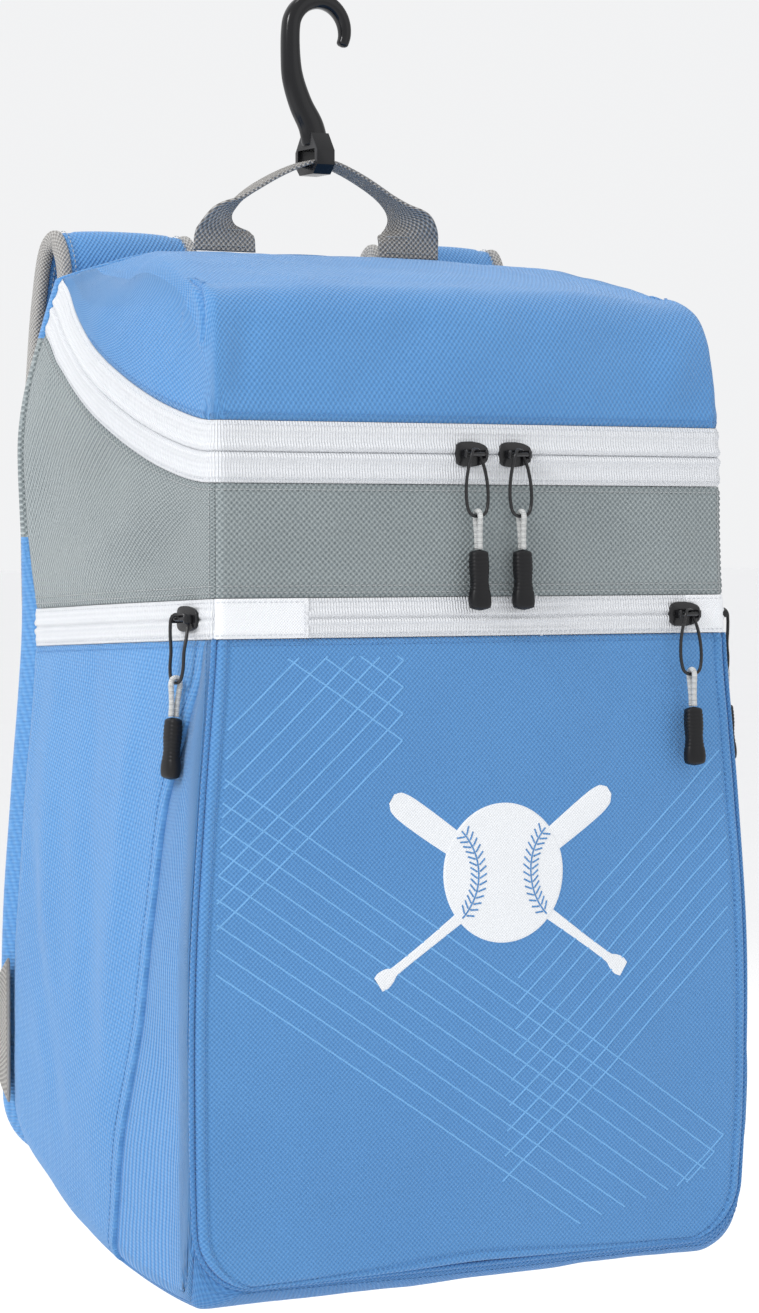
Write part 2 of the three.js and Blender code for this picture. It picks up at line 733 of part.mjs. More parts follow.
function buildSides() {
  const drops = [0, 0.06, 0.14, 0.26, 0.4, 0.56, 0.7, 0.8, 0.88, 0.95, 1];
  for (const [word, side] of [['left', -1], ['right', 1]]) {
    const top_gap = seam_gap / (pocket_zip_height - front_seam_height - front_corner_radius);
    const seam_slit = seam_gap / 2;
    const panel = (name, places) => {
      const grid = places.map((placeAt) => {
        const y_low = placeAt(1);
        const low_w = cornerSeam(y_low) - 0.006;
        return drops.map((drop) => {
          const w = mix(top_gap, low_w, drop);
          return gussetEntry(w, placeAt(w), side);
        });
      });
      addMesh(name, sheetGeometry(grid), colours.cloth_blue, finishes.cloth);
    };
    const gusset_places = gusset_columns.map(({ reach, part }) => (w) => {
      const start = front_rim_y(w) + seam_slit;
      const width = pleatAt(w) - seam_slit - start;
      return start + Math.min(reach, width * part);
    });
    panel(`side_gusset_${word}`, gusset_places);
    const pocket_places = shares(pocket_columns).map((part) => (w) => mix(pleatAt(w) + seam_slit, seam_y, part));
    panel(`side_pocket_${word}`, pocket_places);
  }
}

function buildBottom() {
  const start = front_rim_y(1) + seam_gap / 2;
  const depths = gusset_columns.slice(0, -1).map(({ reach }) => start + reach);
  depths.push(...shares(pocket_columns).map((share) => mix(pleatAt(1), seam_y, share)));
  const grid = depths.map((y) => {
    const edge = cornerSeam(y) + 0.006;
    const turn = shares(3).map((share) => mix(edge, 2, share));
    const left = [...turn, 2.25, 2.6, 3].map((w) => gussetEntry(w, y, -1));
    const right = [2.6, 2.25, ...turn.slice().reverse()].map((w) => gussetEntry(w, y, 1));
    return [...left, ...right];
  });
  addMesh('bottom_panel', sheetGeometry(grid), colours.cloth_blue_front, finishes.cloth);
}

// The back outline at the seam: down the left side, along the floor, up the right side
// and back over the lid's end.
function backOutline() {
  const loop = [];
  const skin_ends = [zipTop(0), zipMiddle(0), zipBottom(0) - seam_gap];
  const yoke_low = pocketZipTop(0) + seam_gap;
  for (const share of shares(yoke_rows).slice(1)) {
    skin_ends.push(mix(zipBottom(0) - seam_gap, yoke_low, share));
  }
  skin_ends.push(pocketZipBottom(0));
  for (const z of skin_ends) {
    loop.push(skinPoint(0, z));
  }
  for (const w of [0.14, 0.36, 0.6, 0.84, 1, 1.33, 1.66, 2, 2.5, 3]) {
    loop.push(gussetPoint(w, seam_y, -1));
  }
  for (const w of [2.5, 2, 1.66, 1.33, 1, 0.84, 0.6, 0.36, 0.14]) {
    loop.push(gussetPoint(w, seam_y, 1));
  }
  for (const z of skin_ends.slice().reverse()) {
    loop.push(skinPoint(5, z));
  }
  const left_edge = lid_columns[0].slice(1, -1).reverse();
  const right_edge = lid_columns[lid_columns.length - 1].slice(1, -1);
  const hinge = lid_columns.map((column) => column[column.length - 1]).reverse();
  loop.push(...[...right_edge, ...hinge, ...left_edge].map((entry) => entry.place));
  return loop;
}

// The back panel is a padded board with a round rim, seated on the ends of all the rest.
function buildBackPanel() {
  const outline = backOutline();
  const count = outline.length;
  const inward = outline.map((place, index) => {
    const before = outline[(index + count - 1) % count];
    const after = outline[(index + 1) % count];
    return point(before.z - after.z, 0, after.x - before.x).normalize();
  });
  const seat = [seam_land, 0].map((inset) => outline.map((place, index) => {
    const land = place.clone().addScaledVector(inward[index], inset);
    land.y = Math.max(land.y, seamAt(land.z)) + seam_gap;
    return land;
  }));
  const rim = [0, 28, 55, 90].map((turn) => outline.map((place, index) => {
    const face = place.y + seam_gap;
    const thickness = backAt(place.z) - face;
    const round = Math.min(back_pad_round, thickness * 0.85);
    const moved = place.clone().addScaledVector(inward[index], round * (1 - Math.cos(radians(turn))));
    moved.y = face + thickness - round * (1 - Math.sin(radians(turn)));
    return moved;
  }));
  const rings = [...seat, ...rim];
  const low = body_height * 0.3;
  const high = body_height * 0.75;
  rings.push(rim[rim.length - 1].map((place) => {
    const z = mix(clamp(place.z, low, high), place.z, 0.4);
    return point(place.x * 0.5, backAt(z) + back_pad_bulge, z);
  }));
  addMesh('back_panel', loftGeometry(rings), colours.cloth_blue, finishes.cloth);
}

// Bands of webbing or padding along a path. Each stop gives the place, the direction across
// the band, its width and its thickness.
function bandGeometry(stops) {
  const rings = stops.map((stop, index) => {
    const before = stops[Math.max(index - 1, 0)].place;
    const after = stops[Math.min(index + 1, stops.length - 1)].place;
    const tangent = after.clone().sub(before).normalize();
    const across = stop.across.clone().addScaledVector(tangent, -stop.across.dot(tangent)).normalize();
    const out = tangent.clone().cross(across);
    const centre = stop.place.clone().addScaledVector(across, stop.shift ?? 0);
    return roundedSection(centre, across, out, stop.width, stop.thickness);
  });
  return loftGeometry(rings);
}

// Route of a shoulder strap in the depth, height and splay directions. Columns: back (share of
// strap_loop_depth behind the pad), up (share of strap_rise over the lid), down (share of
// strap_length_down below the top) and splay (share of strap_splay).
const strap_route = [
  { back: 0.00, up: -3.50, down: 0.00, splay: 0.00 },
  { back: 0.01, up: -1.90, down: 0.00, splay: 0.00 },
  { back: 0.09, up: -0.30, down: 0.00, splay: 0.04 },
  { back: 0.30, up: 0.55, down: 0.00, splay: 0.10 },
  { back: 0.55, up: 0.15, down: 0.00, splay: 0.18 },
  { back: 0.78, up: 0.00, down: 0.09, splay: 0.30 },
  { back: 0.90, up: 0.00, down: 0.22, splay: 0.45 },
  { back: 1.00, up: 0.00, down: 0.38, splay: 0.60 },
  { back: 0.96, up: 0.00, down: 0.56, splay: 0.75 },
  { back: 0.82, up: 0.00, down: 0.74, splay: 0.87 },
  { back: 0.66, up: 0.00, down: 0.89, splay: 0.95 },
  { back: 0.58, up: 0.00, down: 1.00, splay: 1.00 },
];

function strapStops(side, lift) {
  const middle = strap_offset + side * strap_spacing / 2;
  const pad_face = backAt(strap_root_height) - strap_bedding + (strap_thickness + binding_extra) / 2;
  const raw = strap_route.map((row) => point(
    middle + side * strap_splay * row.splay,
    pad_face + strap_loop_depth * row.back,
    body_height + strap_rise * row.up - strap_length_down * row.down,
  ));
  raw[0].z = strap_root_height;
  const curve = new THREE.CatmullRomCurve3(raw, false, 'centripetal');
  return curve.getPoints(lift).map((place) => ({ place, across: point(1, 0, 0) }));
}

function buildStraps() {
  const steps = 17;
  for (const [word, side] of [['left', -1], ['right', 1]]) {
    const stops = strapStops(side, steps);
    const core = strap_width - 2 * (binding_width + seam_gap);
    const dress = (extra) => stops.map((stop) => ({ ...stop, ...extra }));
    const pad = dress({ width: core, thickness: strap_thickness });
    addMesh(`${word}_shoulder_strap`, bandGeometry(pad), colours.strap_blue, finishes.cloth);
    const shift = (strap_width - binding_width) / 2;
    for (const [edge, sign] of [['outer', side], ['inner', -side]]) {
      const strip = dress({
        width: binding_width,
        thickness: strap_thickness + binding_extra,
        shift: sign * shift,
      });
      addMesh(`${word}_strap_${edge}_binding`, bandGeometry(strip), colours.webbing_grey, finishes.webbing);
    }

    // The wing is sewn outside the side-back seam, and the webbing runs from it to the strap.
    const low_z = wing_foot_height;
    const wing_z = low_z + wing_height / 2;
    const wing_x = halfWidthAt(wing_z) + sideBulgeAt(seam_y, wing_z) + seam_gap + webbing_thickness / 2;
    const wing_stops = shares(4).map((share) => {
      const height = mix(wing_height, webbing_width + 2, share);
      return {
        place: point(side * (wing_x + 1 - 6 * share ** 2), seam_y + 2 + wing_reach * share, wing_z),
        across: point(0, 0, 1),
        width: height,
        thickness: webbing_thickness,
      };
    });
    addMesh(`${word}_strap_wing`, bandGeometry(wing_stops), colours.webbing_grey, finishes.webbing);
    const strap_end = stops[stops.length - 1].place;
    const onward = strap_end.clone().sub(stops[stops.length - 2].place).normalize();
    const wing_end = wing_stops[wing_stops.length - 1].place;
    const foot = point(wing_end.x - side * 3, wing_end.y + webbing_thickness + seam_gap + 1, wing_end.z - 8);
    const top = strap_end.clone().addScaledVector(onward, seam_gap + webbing_thickness / 2);
    const lead = top.clone().addScaledVector(onward, webbing_lead);
    const sag = foot.clone().lerp(lead, 0.5).add(point(side * 4, -2, 0));
    const route = new THREE.CatmullRomCurve3([foot, sag, lead, top]);
    const webbing = route.getPoints(9).map((place) => ({
      place,
      across: point(1, 0, 0),
      width: webbing_width,
      thickness: webbing_thickness,
    }));
    addMesh(`${word}_strap_webbing`, bandGeometry(webbing), colours.webbing_grey, finishes.webbing);
  }
}

// Half of the haul loop, from its foot to its top. Columns: inward (share of the way from the
// foot to the middle), up (share of haul_rise), turn (degrees that the band has twisted) and
// gather (share of the way to the gathered width).
const haul_route = [
  { inward: 0.00, up: 0.00, turn: 0, gather: 0.00 },
  { inward: 0.00, up: 0.20, turn: 6, gather: 0.05 },
  { inward: 0.02, up: 0.36, turn: 38, gather: 0.35 },
  { inward: 0.10, up: 0.50, turn: 74, gather: 0.75 },
  { inward: 0.28, up: 0.67, turn: 88, gather: 1.00 },
  { inward: 0.56, up: 0.85, turn: 90, gather: 1.00 },
  { inward: 0.84, up: 0.98, turn: 90, gather: 1.00 },
  { inward: 1.00, up: 1.00, turn: 90, gather: 1.00 },
];
const haul_y = hinge_y + seam_gap + haul_thickness / 2 + 1;

function buildHaulLoop() {
  const half = haul_spacing / 2;
  const foot_z = hingePoint(half).z + seam_gap + 0.8;
  const rise = haul_top_z - foot_z;
  const arm = (side) => haul_route.map((row) => {
    const angle = radians(row.turn);
    return {
      place: point(haul_offset + side * half * (1 - row.inward), haul_y, foot_z + rise * row.up),
      flat: Math.cos(angle),
      deep: Math.sin(angle),
      width: mix(haul_width, haul_gathered_width, row.gather),
      thickness: haul_thickness,
    };
  });
  const left = arm(-1);
  const right = arm(1).reverse().slice(1);
  const stops = [...left, ...right];
  stops.forEach((stop, index) => {
    const before = stops[Math.max(index - 1, 0)].place;
    const after = stops[Math.min(index + 1, stops.length - 1)].place;
    const tangent = after.clone().sub(before).normalize();
    const in_plane = point(tangent.z, 0, -tangent.x);
    stop.across = in_plane.multiplyScalar(stop.flat).add(point(0, stop.deep, 0));
  });
  addMesh('haul_loop', bandGeometry(stops), colours.webbing_grey, finishes.webbing);
}

// The hook hangs with its bend upright. Its base is a ring that the webbing passes through.
const bend_z = body_height + haul_rise + hook_shank + hook_base_height - hook_slot_height;
const haul_top_z = bend_z - hook_shank - hook_base_height + hook_slot_height / 2 + haul_thickness;

// Middle line of the hook below its bend. Columns: side (share of the bend's radius) and
// down (share of hook_shank).
const hook_route = [
  { side: -1.00, down: 0.38 },
  { side: -0.92, down: 0.54 },
  { side: -0.62, down: 0.74 },
  { side: -0.25, down: 0.90 },
  { side: -0.10, down: 1.03 },
];
const hook_tip_angle = -28;

function buildHook() {
  const radius = hook_bend_radius;
  const centre_x = haul_offset;
  const centre_z = bend_z + hook_thickness / 2 - radius;
  const places = shares(10).map((share) => {
    const angle = radians(mix(hook_tip_angle, 180, share));
    return point(centre_x + radius * Math.cos(angle), haul_y, centre_z + radius * Math.sin(angle));
  });
  for (const row of hook_route) {
    places.push(point(centre_x + radius * row.side, haul_y, bend_z - hook_shank * row.down));
  }
  const rings = places.map((place, index) => {
    const before = places[Math.max(index - 1, 0)];
    const after = places[Math.min(index + 1, places.length - 1)];
    const tangent = after.clone().sub(before).normalize();
    const out = tangent.clone().cross(point(0, 1, 0));
    const share = index / (places.length - 1);
    const swell = mix(0.62, 1, Math.min(share * 2.4, 1)) * hook_thickness / 2;
    const broad = mix(1, hook_shank_broadening, THREE.MathUtils.smoothstep(share, 0.65, 1));
    return ovalSection(place, point(0, 1, 0), out, swell, swell * broad, 10);
  });
  const stem = loftGeometry(rings);

  const wide = hook_base_width / 2;
  const base_top = bend_z - hook_shank;
  const outline = new THREE.Shape();
  outline.moveTo(-wide * 0.45, 3);
  outline.lineTo(wide * 0.45, 3);
  outline.lineTo(wide, -hook_base_height * 0.35);
  outline.lineTo(wide, -hook_base_height * 0.75);
  outline.lineTo(wide * 0.62, -hook_base_height);
  outline.lineTo(-wide * 0.62, -hook_base_height);
  outline.lineTo(-wide, -hook_base_height * 0.75);
  outline.lineTo(-wide, -hook_base_height * 0.35);
  outline.closePath();
  const slot_half = haul_gathered_width / 2 + hook_slot_clearance;
  const slot_low = -hook_base_height + (hook_base_height - hook_slot_height) * 0.45;
  const slot = new THREE.Path();
  slot.moveTo(-slot_half, slot_low);
  slot.lineTo(slot_half, slot_low);
  slot.lineTo(slot_half, slot_low + hook_slot_height);
  slot.lineTo(-slot_half, slot_low + hook_slot_height);
  slot.closePath();
  outline.holes.push(slot);
  const base = new THREE.ExtrudeGeometry(outline, { depth: hook_base_length, bevelEnabled: false });
  base.translate(0, 0, -hook_base_length / 2);
  base.rotateX(Math.PI / 2);
  base.rotateZ(Math.PI / 2);
  base.translate(centre_x - radius * 0.1, haul_y, base_top);
  const hook = joinSolids([stem, base]);
  addMesh('hook', hook, colours.black_plastic, finishes.plastic);
}

// Sliders and pulls are drawn about the pull's hinge: x along the zipper, y into the cloth.
function sliderGeometry() {
  const plate = new THREE.BoxGeometry(slider_length, slider_plate, slider_height);
  plate.translate(0, bar_height + slider_plate / 2, 0);
  const post_reach = bar_height + slider_plate / 2 + bar_radius + 0.4;
  const posts = [-1, 1].map((side) => {
    const post = new THREE.BoxGeometry(post_thickness, post_reach, 2 * bar_radius + 2);
    post.translate(side * post_spacing / 2, bar_height + slider_plate / 2 - post_reach / 2, 0);
    return post;
  });
  const bar = new THREE.CylinderGeometry(bar_radius, bar_radius, post_spacing, 8);
  bar.rotateZ(Math.PI / 2);
  return joinSolids([plate, ...posts, bar]);
}

// The pull's ring. Columns: across (share of ring_half_width), down (share of ring_length) and
// turn (degrees out of the face plane, so that the ring closes round the slider's bar).
const ring_rows = [
  { across: 0.00, down: -0.070, turn: 32 },
  { across: 0.48, down: -0.058, turn: 32 },
  { across: 0.73, down: 0.000, turn: 32 },
  { across: 0.84, down: 0.110, turn: 24 },
  { across: 0.94, down: 0.260, turn: 12 },
  { across: 1.00, down: 0.500, turn: 0 },
  { across: 1.00, down: 0.740, turn: 0 },
  { across: 0.78, down: 0.900, turn: 0 },
  { across: 0.40, down: 0.955, turn: 0 },
];
const ring_bottom = 0.965;

function ringGeometry() {
  const place = (row, side) => {
    const reach = side * row.across * ring_half_width;
    const angle = radians(row.turn);
    return point(reach * Math.cos(angle), reach * Math.sin(angle), -row.down * ring_length);
  };
  const right = ring_rows.map((row) => place(row, 1));
  const left = ring_rows.slice(1).reverse().map((row) => place(row, -1));
  const loop = [...right, point(0, 0, -ring_bottom * ring_length), ...left];
  const count = loop.length;
  const rings = loop.map((here, index) => {
    const tangent = loop[(index + 1) % count].clone().sub(loop[(index + count - 1) % count]).normalize();
    const axis = point(0, 1, 0);
    const across = axis.addScaledVector(tangent, -axis.dot(tangent)).normalize();
    return ovalSection(here, across, tangent.clone().cross(across), ring_wire, ring_wire, 6);
  });
  return loftGeometry(rings, true);
}

const cord_top = ring_bottom * ring_length;
const grip_top = ring_length + cord_length - 9;

function cordGeometry() {
  const loop_radius = ring_wire + running_gap + cord_radius;
  const near = cord_radius + running_gap / 2;
  const side = (sign) => [
    point(0, sign * near, -grip_top + running_gap),
    point(0, sign * near, -mix(cord_top, grip_top, 0.66)),
    point(0, sign * mix(near, loop_radius, 0.5), -mix(cord_top, grip_top, 0.33)),
    point(0, sign * loop_radius, -cord_top - cord_radius),
  ];
  const over = [180, 150, 120, 90, 60, 30, 0].map((turn) => {
    const angle = radians(turn);
    return point(0, loop_radius * Math.cos(angle), -cord_top + loop_radius * Math.sin(angle));
  });
  const places = [...side(-1), ...over, ...side(1).reverse()];
  return wireGeometry(places, cord_radius, 6, point(1, 0, 0));
}

// Grip rows. Columns: down (share of grip_length), width and thick (shares of its sizes).
const grip_rows = [
  { down: 0.00, width: 0.62, thick: 0.72 },
  { down: 0.06, width: 0.80, thick: 0.92 },
  { down: 0.30, width: 0.86, thick: 1.00 },
  { down: 0.55, width: 0.80, thick: 0.90 },
  { down: 0.82, width: 1.00, thick: 1.00 },
  { down: 0.96, width: 0.90, thick: 0.84 },
  { down: 1.00, width: 0.60, thick: 0.55 },
];

function gripGeometry() {
  const rings = grip_rows.map((row) => ovalSection(
    point(0, 0, -grip_top - grip_length * row.down),
    point(1, 0, 0),
    point(0, 1, 0),
    grip_width / 2 * row.width,
    grip_thickness / 2 * row.thick,
    10,
  ));
  return loftGeometry(rings);
}

// A pull is placed by the point on the tape under it and the way that its zipper faces.
function addPull(name, tape_point, facing_turn, tilt) {
  const mount = new THREE.Group();
  mount.rotation.z = radians(facing_turn);
  const out = point(0, -1, 0).applyAxisAngle(point(0, 0, 1), mount.rotation.z);
  mount.position.copy(tape_point).addScaledVector(out, slider_seat_gap + slider_plate + bar_height);
  bag.add(mount);
  addMesh(`${name}_slider`, sliderGeometry(), colours.black_metal, finishes.metal, mount);
  const swing = new THREE.Group();
  swing.rotation.x = -radians(tilt);
  mount.add(swing);
  addMesh(`${name}_pull_ring`, ringGeometry(), colours.black_metal, finishes.metal, swing);
  addMesh(`${name}_pull_cord`, cordGeometry(), colours.cord_white, finishes.cloth, swing);
  addMesh(`${name}_pull_grip`, gripGeometry(), colours.black_rubber, finishes.rubber, swing);
}

// The slider's plate seats on the most forward tape under it.
function buildPulls() {
  const flat = halfWidthAt(main_zip_height) - front_edge_radius;
  const on_front = (x, z) => {
    const spots = [-1, 0, 1].flatMap((i) => [-1, 0, 1].map((j) => {
      const u = 2 + (x + i * slider_length / 2 + flat) / (2 * flat);
      return skinPoint(u, z + j * slider_height / 2).y;
    }));
    return point(x, Math.min(...spots), z);
  };
  addPull('main_left', on_front(main_slider_left, main_zip_height), 0, front_pull_tilt);
  addPull('main_right', on_front(main_slider_right, main_zip_height), 0, front_pull_tilt);
  addPull('pocket', on_front(pocket_slider_place, pocket_zip_height), 0, pocket_pull_tilt);
  // The sides lean outward to the back, and the sliders lie on the tape's flat next to the front.
  const on_side = (inset) => {
    const front = frontAt(pocket_zip_height);
    const z = pocketZipMiddle(1);
    const spot = (i, j) => {
      const ahead = skinPoint(1, z + j * slider_height / 2);
      const behind = skinPoint(side_facet, z + j * slider_height / 2);
      const y = front + inset + i * slider_length / 2;
      return behind.clone().lerp(ahead, (y - behind.y) / (ahead.y - behind.y));
    };
    const lean = Math.atan2(spot(-1, 0).x - spot(1, 0).x, spot(1, 0).y - spot(-1, 0).y);
    const out = point(-Math.cos(lean), -Math.sin(lean), 0);
    const middle = spot(0, 0);
    const spots = [-1, 0, 1].flatMap((i) => [-1, 0, 1].map((j) => spot(i, j).sub(middle).dot(out)));
    return { place: middle.clone().addScaledVector(out, Math.max(...spots)), lean };
  };
  const left = on_side(left_slider_inset);
  const right = on_side(right_slider_inset);
  right.place.x = -right.place.x;
  addPull('left_side', left.place, -90 + THREE.MathUtils.radToDeg(left.lean), side_pull_tilt);
  addPull('right_side', right.place, 90 - THREE.MathUtils.radToDeg(right.lean), side_pull_tilt);
}

buildZipTapes();
buildYoke();
buildLid();
buildFrontPanel();
buildSides();
buildBottom();
buildBackPanel();
buildStraps();
buildHaulLoop();
buildHook();
buildPulls();

bag.position.set(-haul_offset, -haul_y, -bend_z);

const backpack = new THREE.Group();
backpack.add(bag);
export default backpack;
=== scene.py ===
import json
import math
import bpy
import numpy as np
from mathutils import Matrix, Vector


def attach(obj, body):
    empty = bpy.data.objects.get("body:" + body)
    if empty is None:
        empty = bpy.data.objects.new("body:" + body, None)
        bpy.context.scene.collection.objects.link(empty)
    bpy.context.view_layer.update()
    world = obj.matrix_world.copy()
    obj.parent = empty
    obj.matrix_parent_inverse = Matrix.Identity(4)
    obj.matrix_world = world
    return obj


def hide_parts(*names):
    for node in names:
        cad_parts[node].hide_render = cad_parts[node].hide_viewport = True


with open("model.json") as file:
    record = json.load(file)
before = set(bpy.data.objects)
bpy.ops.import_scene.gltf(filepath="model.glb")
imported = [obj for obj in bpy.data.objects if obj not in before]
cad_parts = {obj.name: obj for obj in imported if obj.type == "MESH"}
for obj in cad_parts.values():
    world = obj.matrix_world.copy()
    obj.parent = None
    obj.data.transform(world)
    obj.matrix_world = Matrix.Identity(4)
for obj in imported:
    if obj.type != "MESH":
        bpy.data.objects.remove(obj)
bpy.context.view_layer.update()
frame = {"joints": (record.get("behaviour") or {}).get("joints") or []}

# The bag is drawn in millimetres in its own frame, as in the source, and moved by HANG.
HANG = np.array([-6.0, -78.28, -678.0])
BODY_H, HALF_W = 541.0, 167.0
FRONT_D, BACK_D, SEAM_Y = 117.0, 118.0, 86.0
R_EDGE, CROWN, BULGE, WIDEN, DRAW = 7.0, 6.0, 5.0, 8.0, 10.0
SEAM_H, CORNER_R, FLOOR_RISE, BACK_R, REACH = 7.0, 32.0, 46.0, 36.0, 12.0
BOX_R = {-1: 9.0, 1: 24.0}
PZ_H, PZ_W, PZ_DROP, MZ_H, MZ_W = 344.0, 20.0, 8.0, 427.0, 31.0
GAP, TUCK, THREAD_LIFT, PRINT_MARGIN = 0.25, 3.2, 0.12, 9.0
LID_CREST, LID_ARCH, LID_CREST_POWER, LID_ROUND_POWER, LID_SHOULDER_POWER = 512.0, 3.0, 1.35, 2.3, 1.3
ZIP_CLIMB, ZIP_CLIMB_POWER, TAB_LEFT, TAB_RIGHT = 80.0, 1.53, 46.0, 20.0
PAD_ROUND, PAD_PUFF = 13.0, 2.0
STRAP_W, STRAP_T, STRAP_SPACING, STRAP_OFFSET, STRAP_SPLAY = 77.0, 9.6, 198.0, 6.0, 8.0
STRAP_RISE, STRAP_LOOP, STRAP_DOWN, STRAP_ROOT, EDGE_W = 12.0, 40.0, 305.0, 500.0, 7.0
WING_H, WING_END, WING_FOOT, WING_REACH, WEB_W, WEB_LEAD = 78.0, 27.0, 80.0, 34.0, 25.0, 40.0
HAUL_W, HAUL_T, HAUL_NARROW, HAUL_SPACING, HAUL_X = 38.0, 2.4, 17.0, 116.0, 6.0
HOOK_BEND, HOOK_T, HOOK_SHANK, HOOK_BROAD, BASE_H, SLOT_H = 17.0, 10.0, 72.0, 1.5, 20.0, 9.0
SLIDER, BAR_R, BAR_UP, POST_SPACING = (19, 2.3, 13), 1.1, 3.6, 12.0
RING_L, RING_HALF, RING_WIRE, RING_LOW = 33.0, 6.3, 0.88, 0.965
CORD_R, CORD_L, GRIP_L, GRIP_W, GRIP_T = 1.4, 25.0, 31.0, 12.0, 8.0
WORLD_X, WORLD_Y, WORLD_Z = np.eye(3)

# height, width, front, crown, seam, back
BODY = np.array([
    [0.000, 0.975, 0.949, 0.00, 1.00, 0.930], [0.075, 0.990, 0.949, 0.25, 1.00, 0.940],
    [0.151, 1.000, 0.957, 0.65, 1.00, 0.945], [0.306, 1.000, 0.964, 1.00, 1.00, 0.945],
    [0.453, 0.968, 0.957, 0.90, 1.00, 0.945], [0.591, 0.927, 0.949, 0.45, 1.00, 0.950],
    [0.640, 0.919, 0.945, 0.32, 1.03, 0.960], [0.685, 0.916, 0.940, 0.28, 1.13, 0.980],
    [0.730, 0.914, 0.934, 0.26, 1.21, 1.000], [0.786, 0.913, 0.927, 0.25, 1.25, 1.000],
    [0.850, 0.911, 0.918, 0.22, 1.23, 1.000], [0.884, 0.909, 0.912, 0.20, 1.18, 0.970],
    [0.934, 0.903, 0.905, 0.20, 1.06, 0.890], [0.976, 0.893, 0.897, 0.20, 0.95, 0.810],
    [1.000, 0.886, 0.890, 0.20, 0.88, 0.760]])
FLOOR = np.array([[0, 0], [.15, .02], [.30, .10], [.50, .25], [.70, .46], [.85, .69], [1, 1.0]])
PLEAT = np.array([[0, .045], [.06, .055], [.12, .090], [.27, .168], [.48, .208], [.60, .235],
                  [.80, .330], [1, .400]])


def table_at(rows, col, at):
    k, v = rows[:, 0], rows[:, col]
    at = np.clip(at, k[0], k[-1])
    before, after = np.maximum(np.arange(len(k)) - 1, 0), np.minimum(np.arange(len(k)) + 1, len(k) - 1)
    slope = (v[after] - v[before]) / (k[after] - k[before])
    i = np.clip(np.searchsorted(k, at, side="left") - 1, 0, len(k) - 2)
    step = k[i + 1] - k[i]
    t = (at - k[i]) / step
    rise = v[i] + (v[i + 1] - v[i]) * t * t * (3 - 2 * t)
    return rise + t * (1 - t) ** 2 * step * slope[i] - t * t * (1 - t) * step * slope[i + 1]


def mix(a, b, t):
    return a + (b - a) * t


def smooth(x, a, b):
    t = np.clip((x - a) / (b - a), 0, 1)
    return t * t * (3 - 2 * t)


def hump(x, middle, breadth):
    return np.exp(-((x - middle) / breadth) ** 2)


def stack(*parts):
    return np.stack(parts, -1)


def unit(v):
    return v / np.maximum(np.linalg.norm(v, axis=-1, keepdims=True), 1e-9)


def body_curve(column, size):
    return lambda z: size * table_at(BODY, column, z / BODY_H)


half_at, front_at, crown_at = body_curve(1, HALF_W), body_curve(2, -FRONT_D), body_curve(3, CROWN)
seam_at, back_at = body_curve(4, SEAM_Y), body_curve(5, BACK_D)
FRONT_LINE = float(front_at(0.0))


def depth_share(y):
    return (y - FRONT_LINE) / (SEAM_Y - FRONT_LINE)


def rim_inset(behind):
    left = R_EDGE - np.clip(behind, 0, R_EDGE)
    return R_EDGE - np.sqrt(R_EDGE ** 2 - left ** 2)


def side_bulge(y, z):
    start, end = front_at(z) + R_EDGE, seam_at(z)
    share = np.clip((y - start) / (end - start), 0, 1)
    high, far = smooth(z, MZ_H, BODY_H), smooth(y, 0 * end, end)
    return BULGE * np.sin(np.pi * share) ** 2 + WIDEN * share - DRAW * high * far


def skin(u, z):
    u, z = np.broadcast_arrays(np.asarray(u, float), np.asarray(z, float))
    sign = np.where(u > 2.5, -1.0, 1.0)
    u = np.where(u > 2.5, 5 - u, u)
    half, front = half_at(z), front_at(z)
    flat = half - R_EDGE
    y1 = mix(seam_at(z), front + R_EDGE, np.clip(u, 0, 1))
    x1 = -half - side_bulge(y1, z)
    a = np.clip(u - 1, 0, 1) * np.pi / 2
    x2, y2 = -flat - R_EDGE * np.cos(a), front + R_EDGE * (1 - np.sin(a))
    x3 = mix(-flat, flat, np.clip(u - 2, 0, 1))
    y3 = front - crown_at(z) * (1 - (x3 / flat) ** 2)
    x = np.where(u <= 1, x1, np.where(u <= 2, x2, x3))
    y = np.where(u <= 1, y1, np.where(u <= 2, y2, y3))
    return stack(x * sign, y, z)


def zip_mid_y(y):
    start = float(front_at(MZ_H)) + R_EDGE
    return MZ_H + ZIP_CLIMB * np.maximum((y - start) / (SEAM_Y - start), 0) ** ZIP_CLIMB_POWER


def zip_half_y(y):
    return MZ_W / 2 * np.hypot(1, zip_mid_y(y + 1) - zip_mid_y(y))


def meet(u, f):
    z = np.full(np.shape(u), MZ_H)
    for _ in range(12):
        z = f(skin(u, z)[..., 1])
    return z


def zip_mid(u):
    return meet(u, zip_mid_y)


def zip_top(u):
    return meet(u, lambda y: zip_mid_y(y) + zip_half_y(y))


def zip_low(u):
    return meet(u, lambda y: zip_mid_y(y) - zip_half_y(y))


def pocket_mid(u):
    y = skin(u, np.full(np.shape(u), PZ_H))[..., 1]
    return PZ_H - PZ_DROP * np.clip(depth_share(y), 0, 1)


LID_FR, LID_SR, LID_SL, LID_SRR = 26.0, 15.0, 54.0, 26.0
LID_POW = -math.log(2) / math.log(1 - R_EDGE * (1 - math.sqrt(.5)) / ((LID_FR + LID_SR) / 2))
HINGE_Y = float(seam_at(BODY_H))


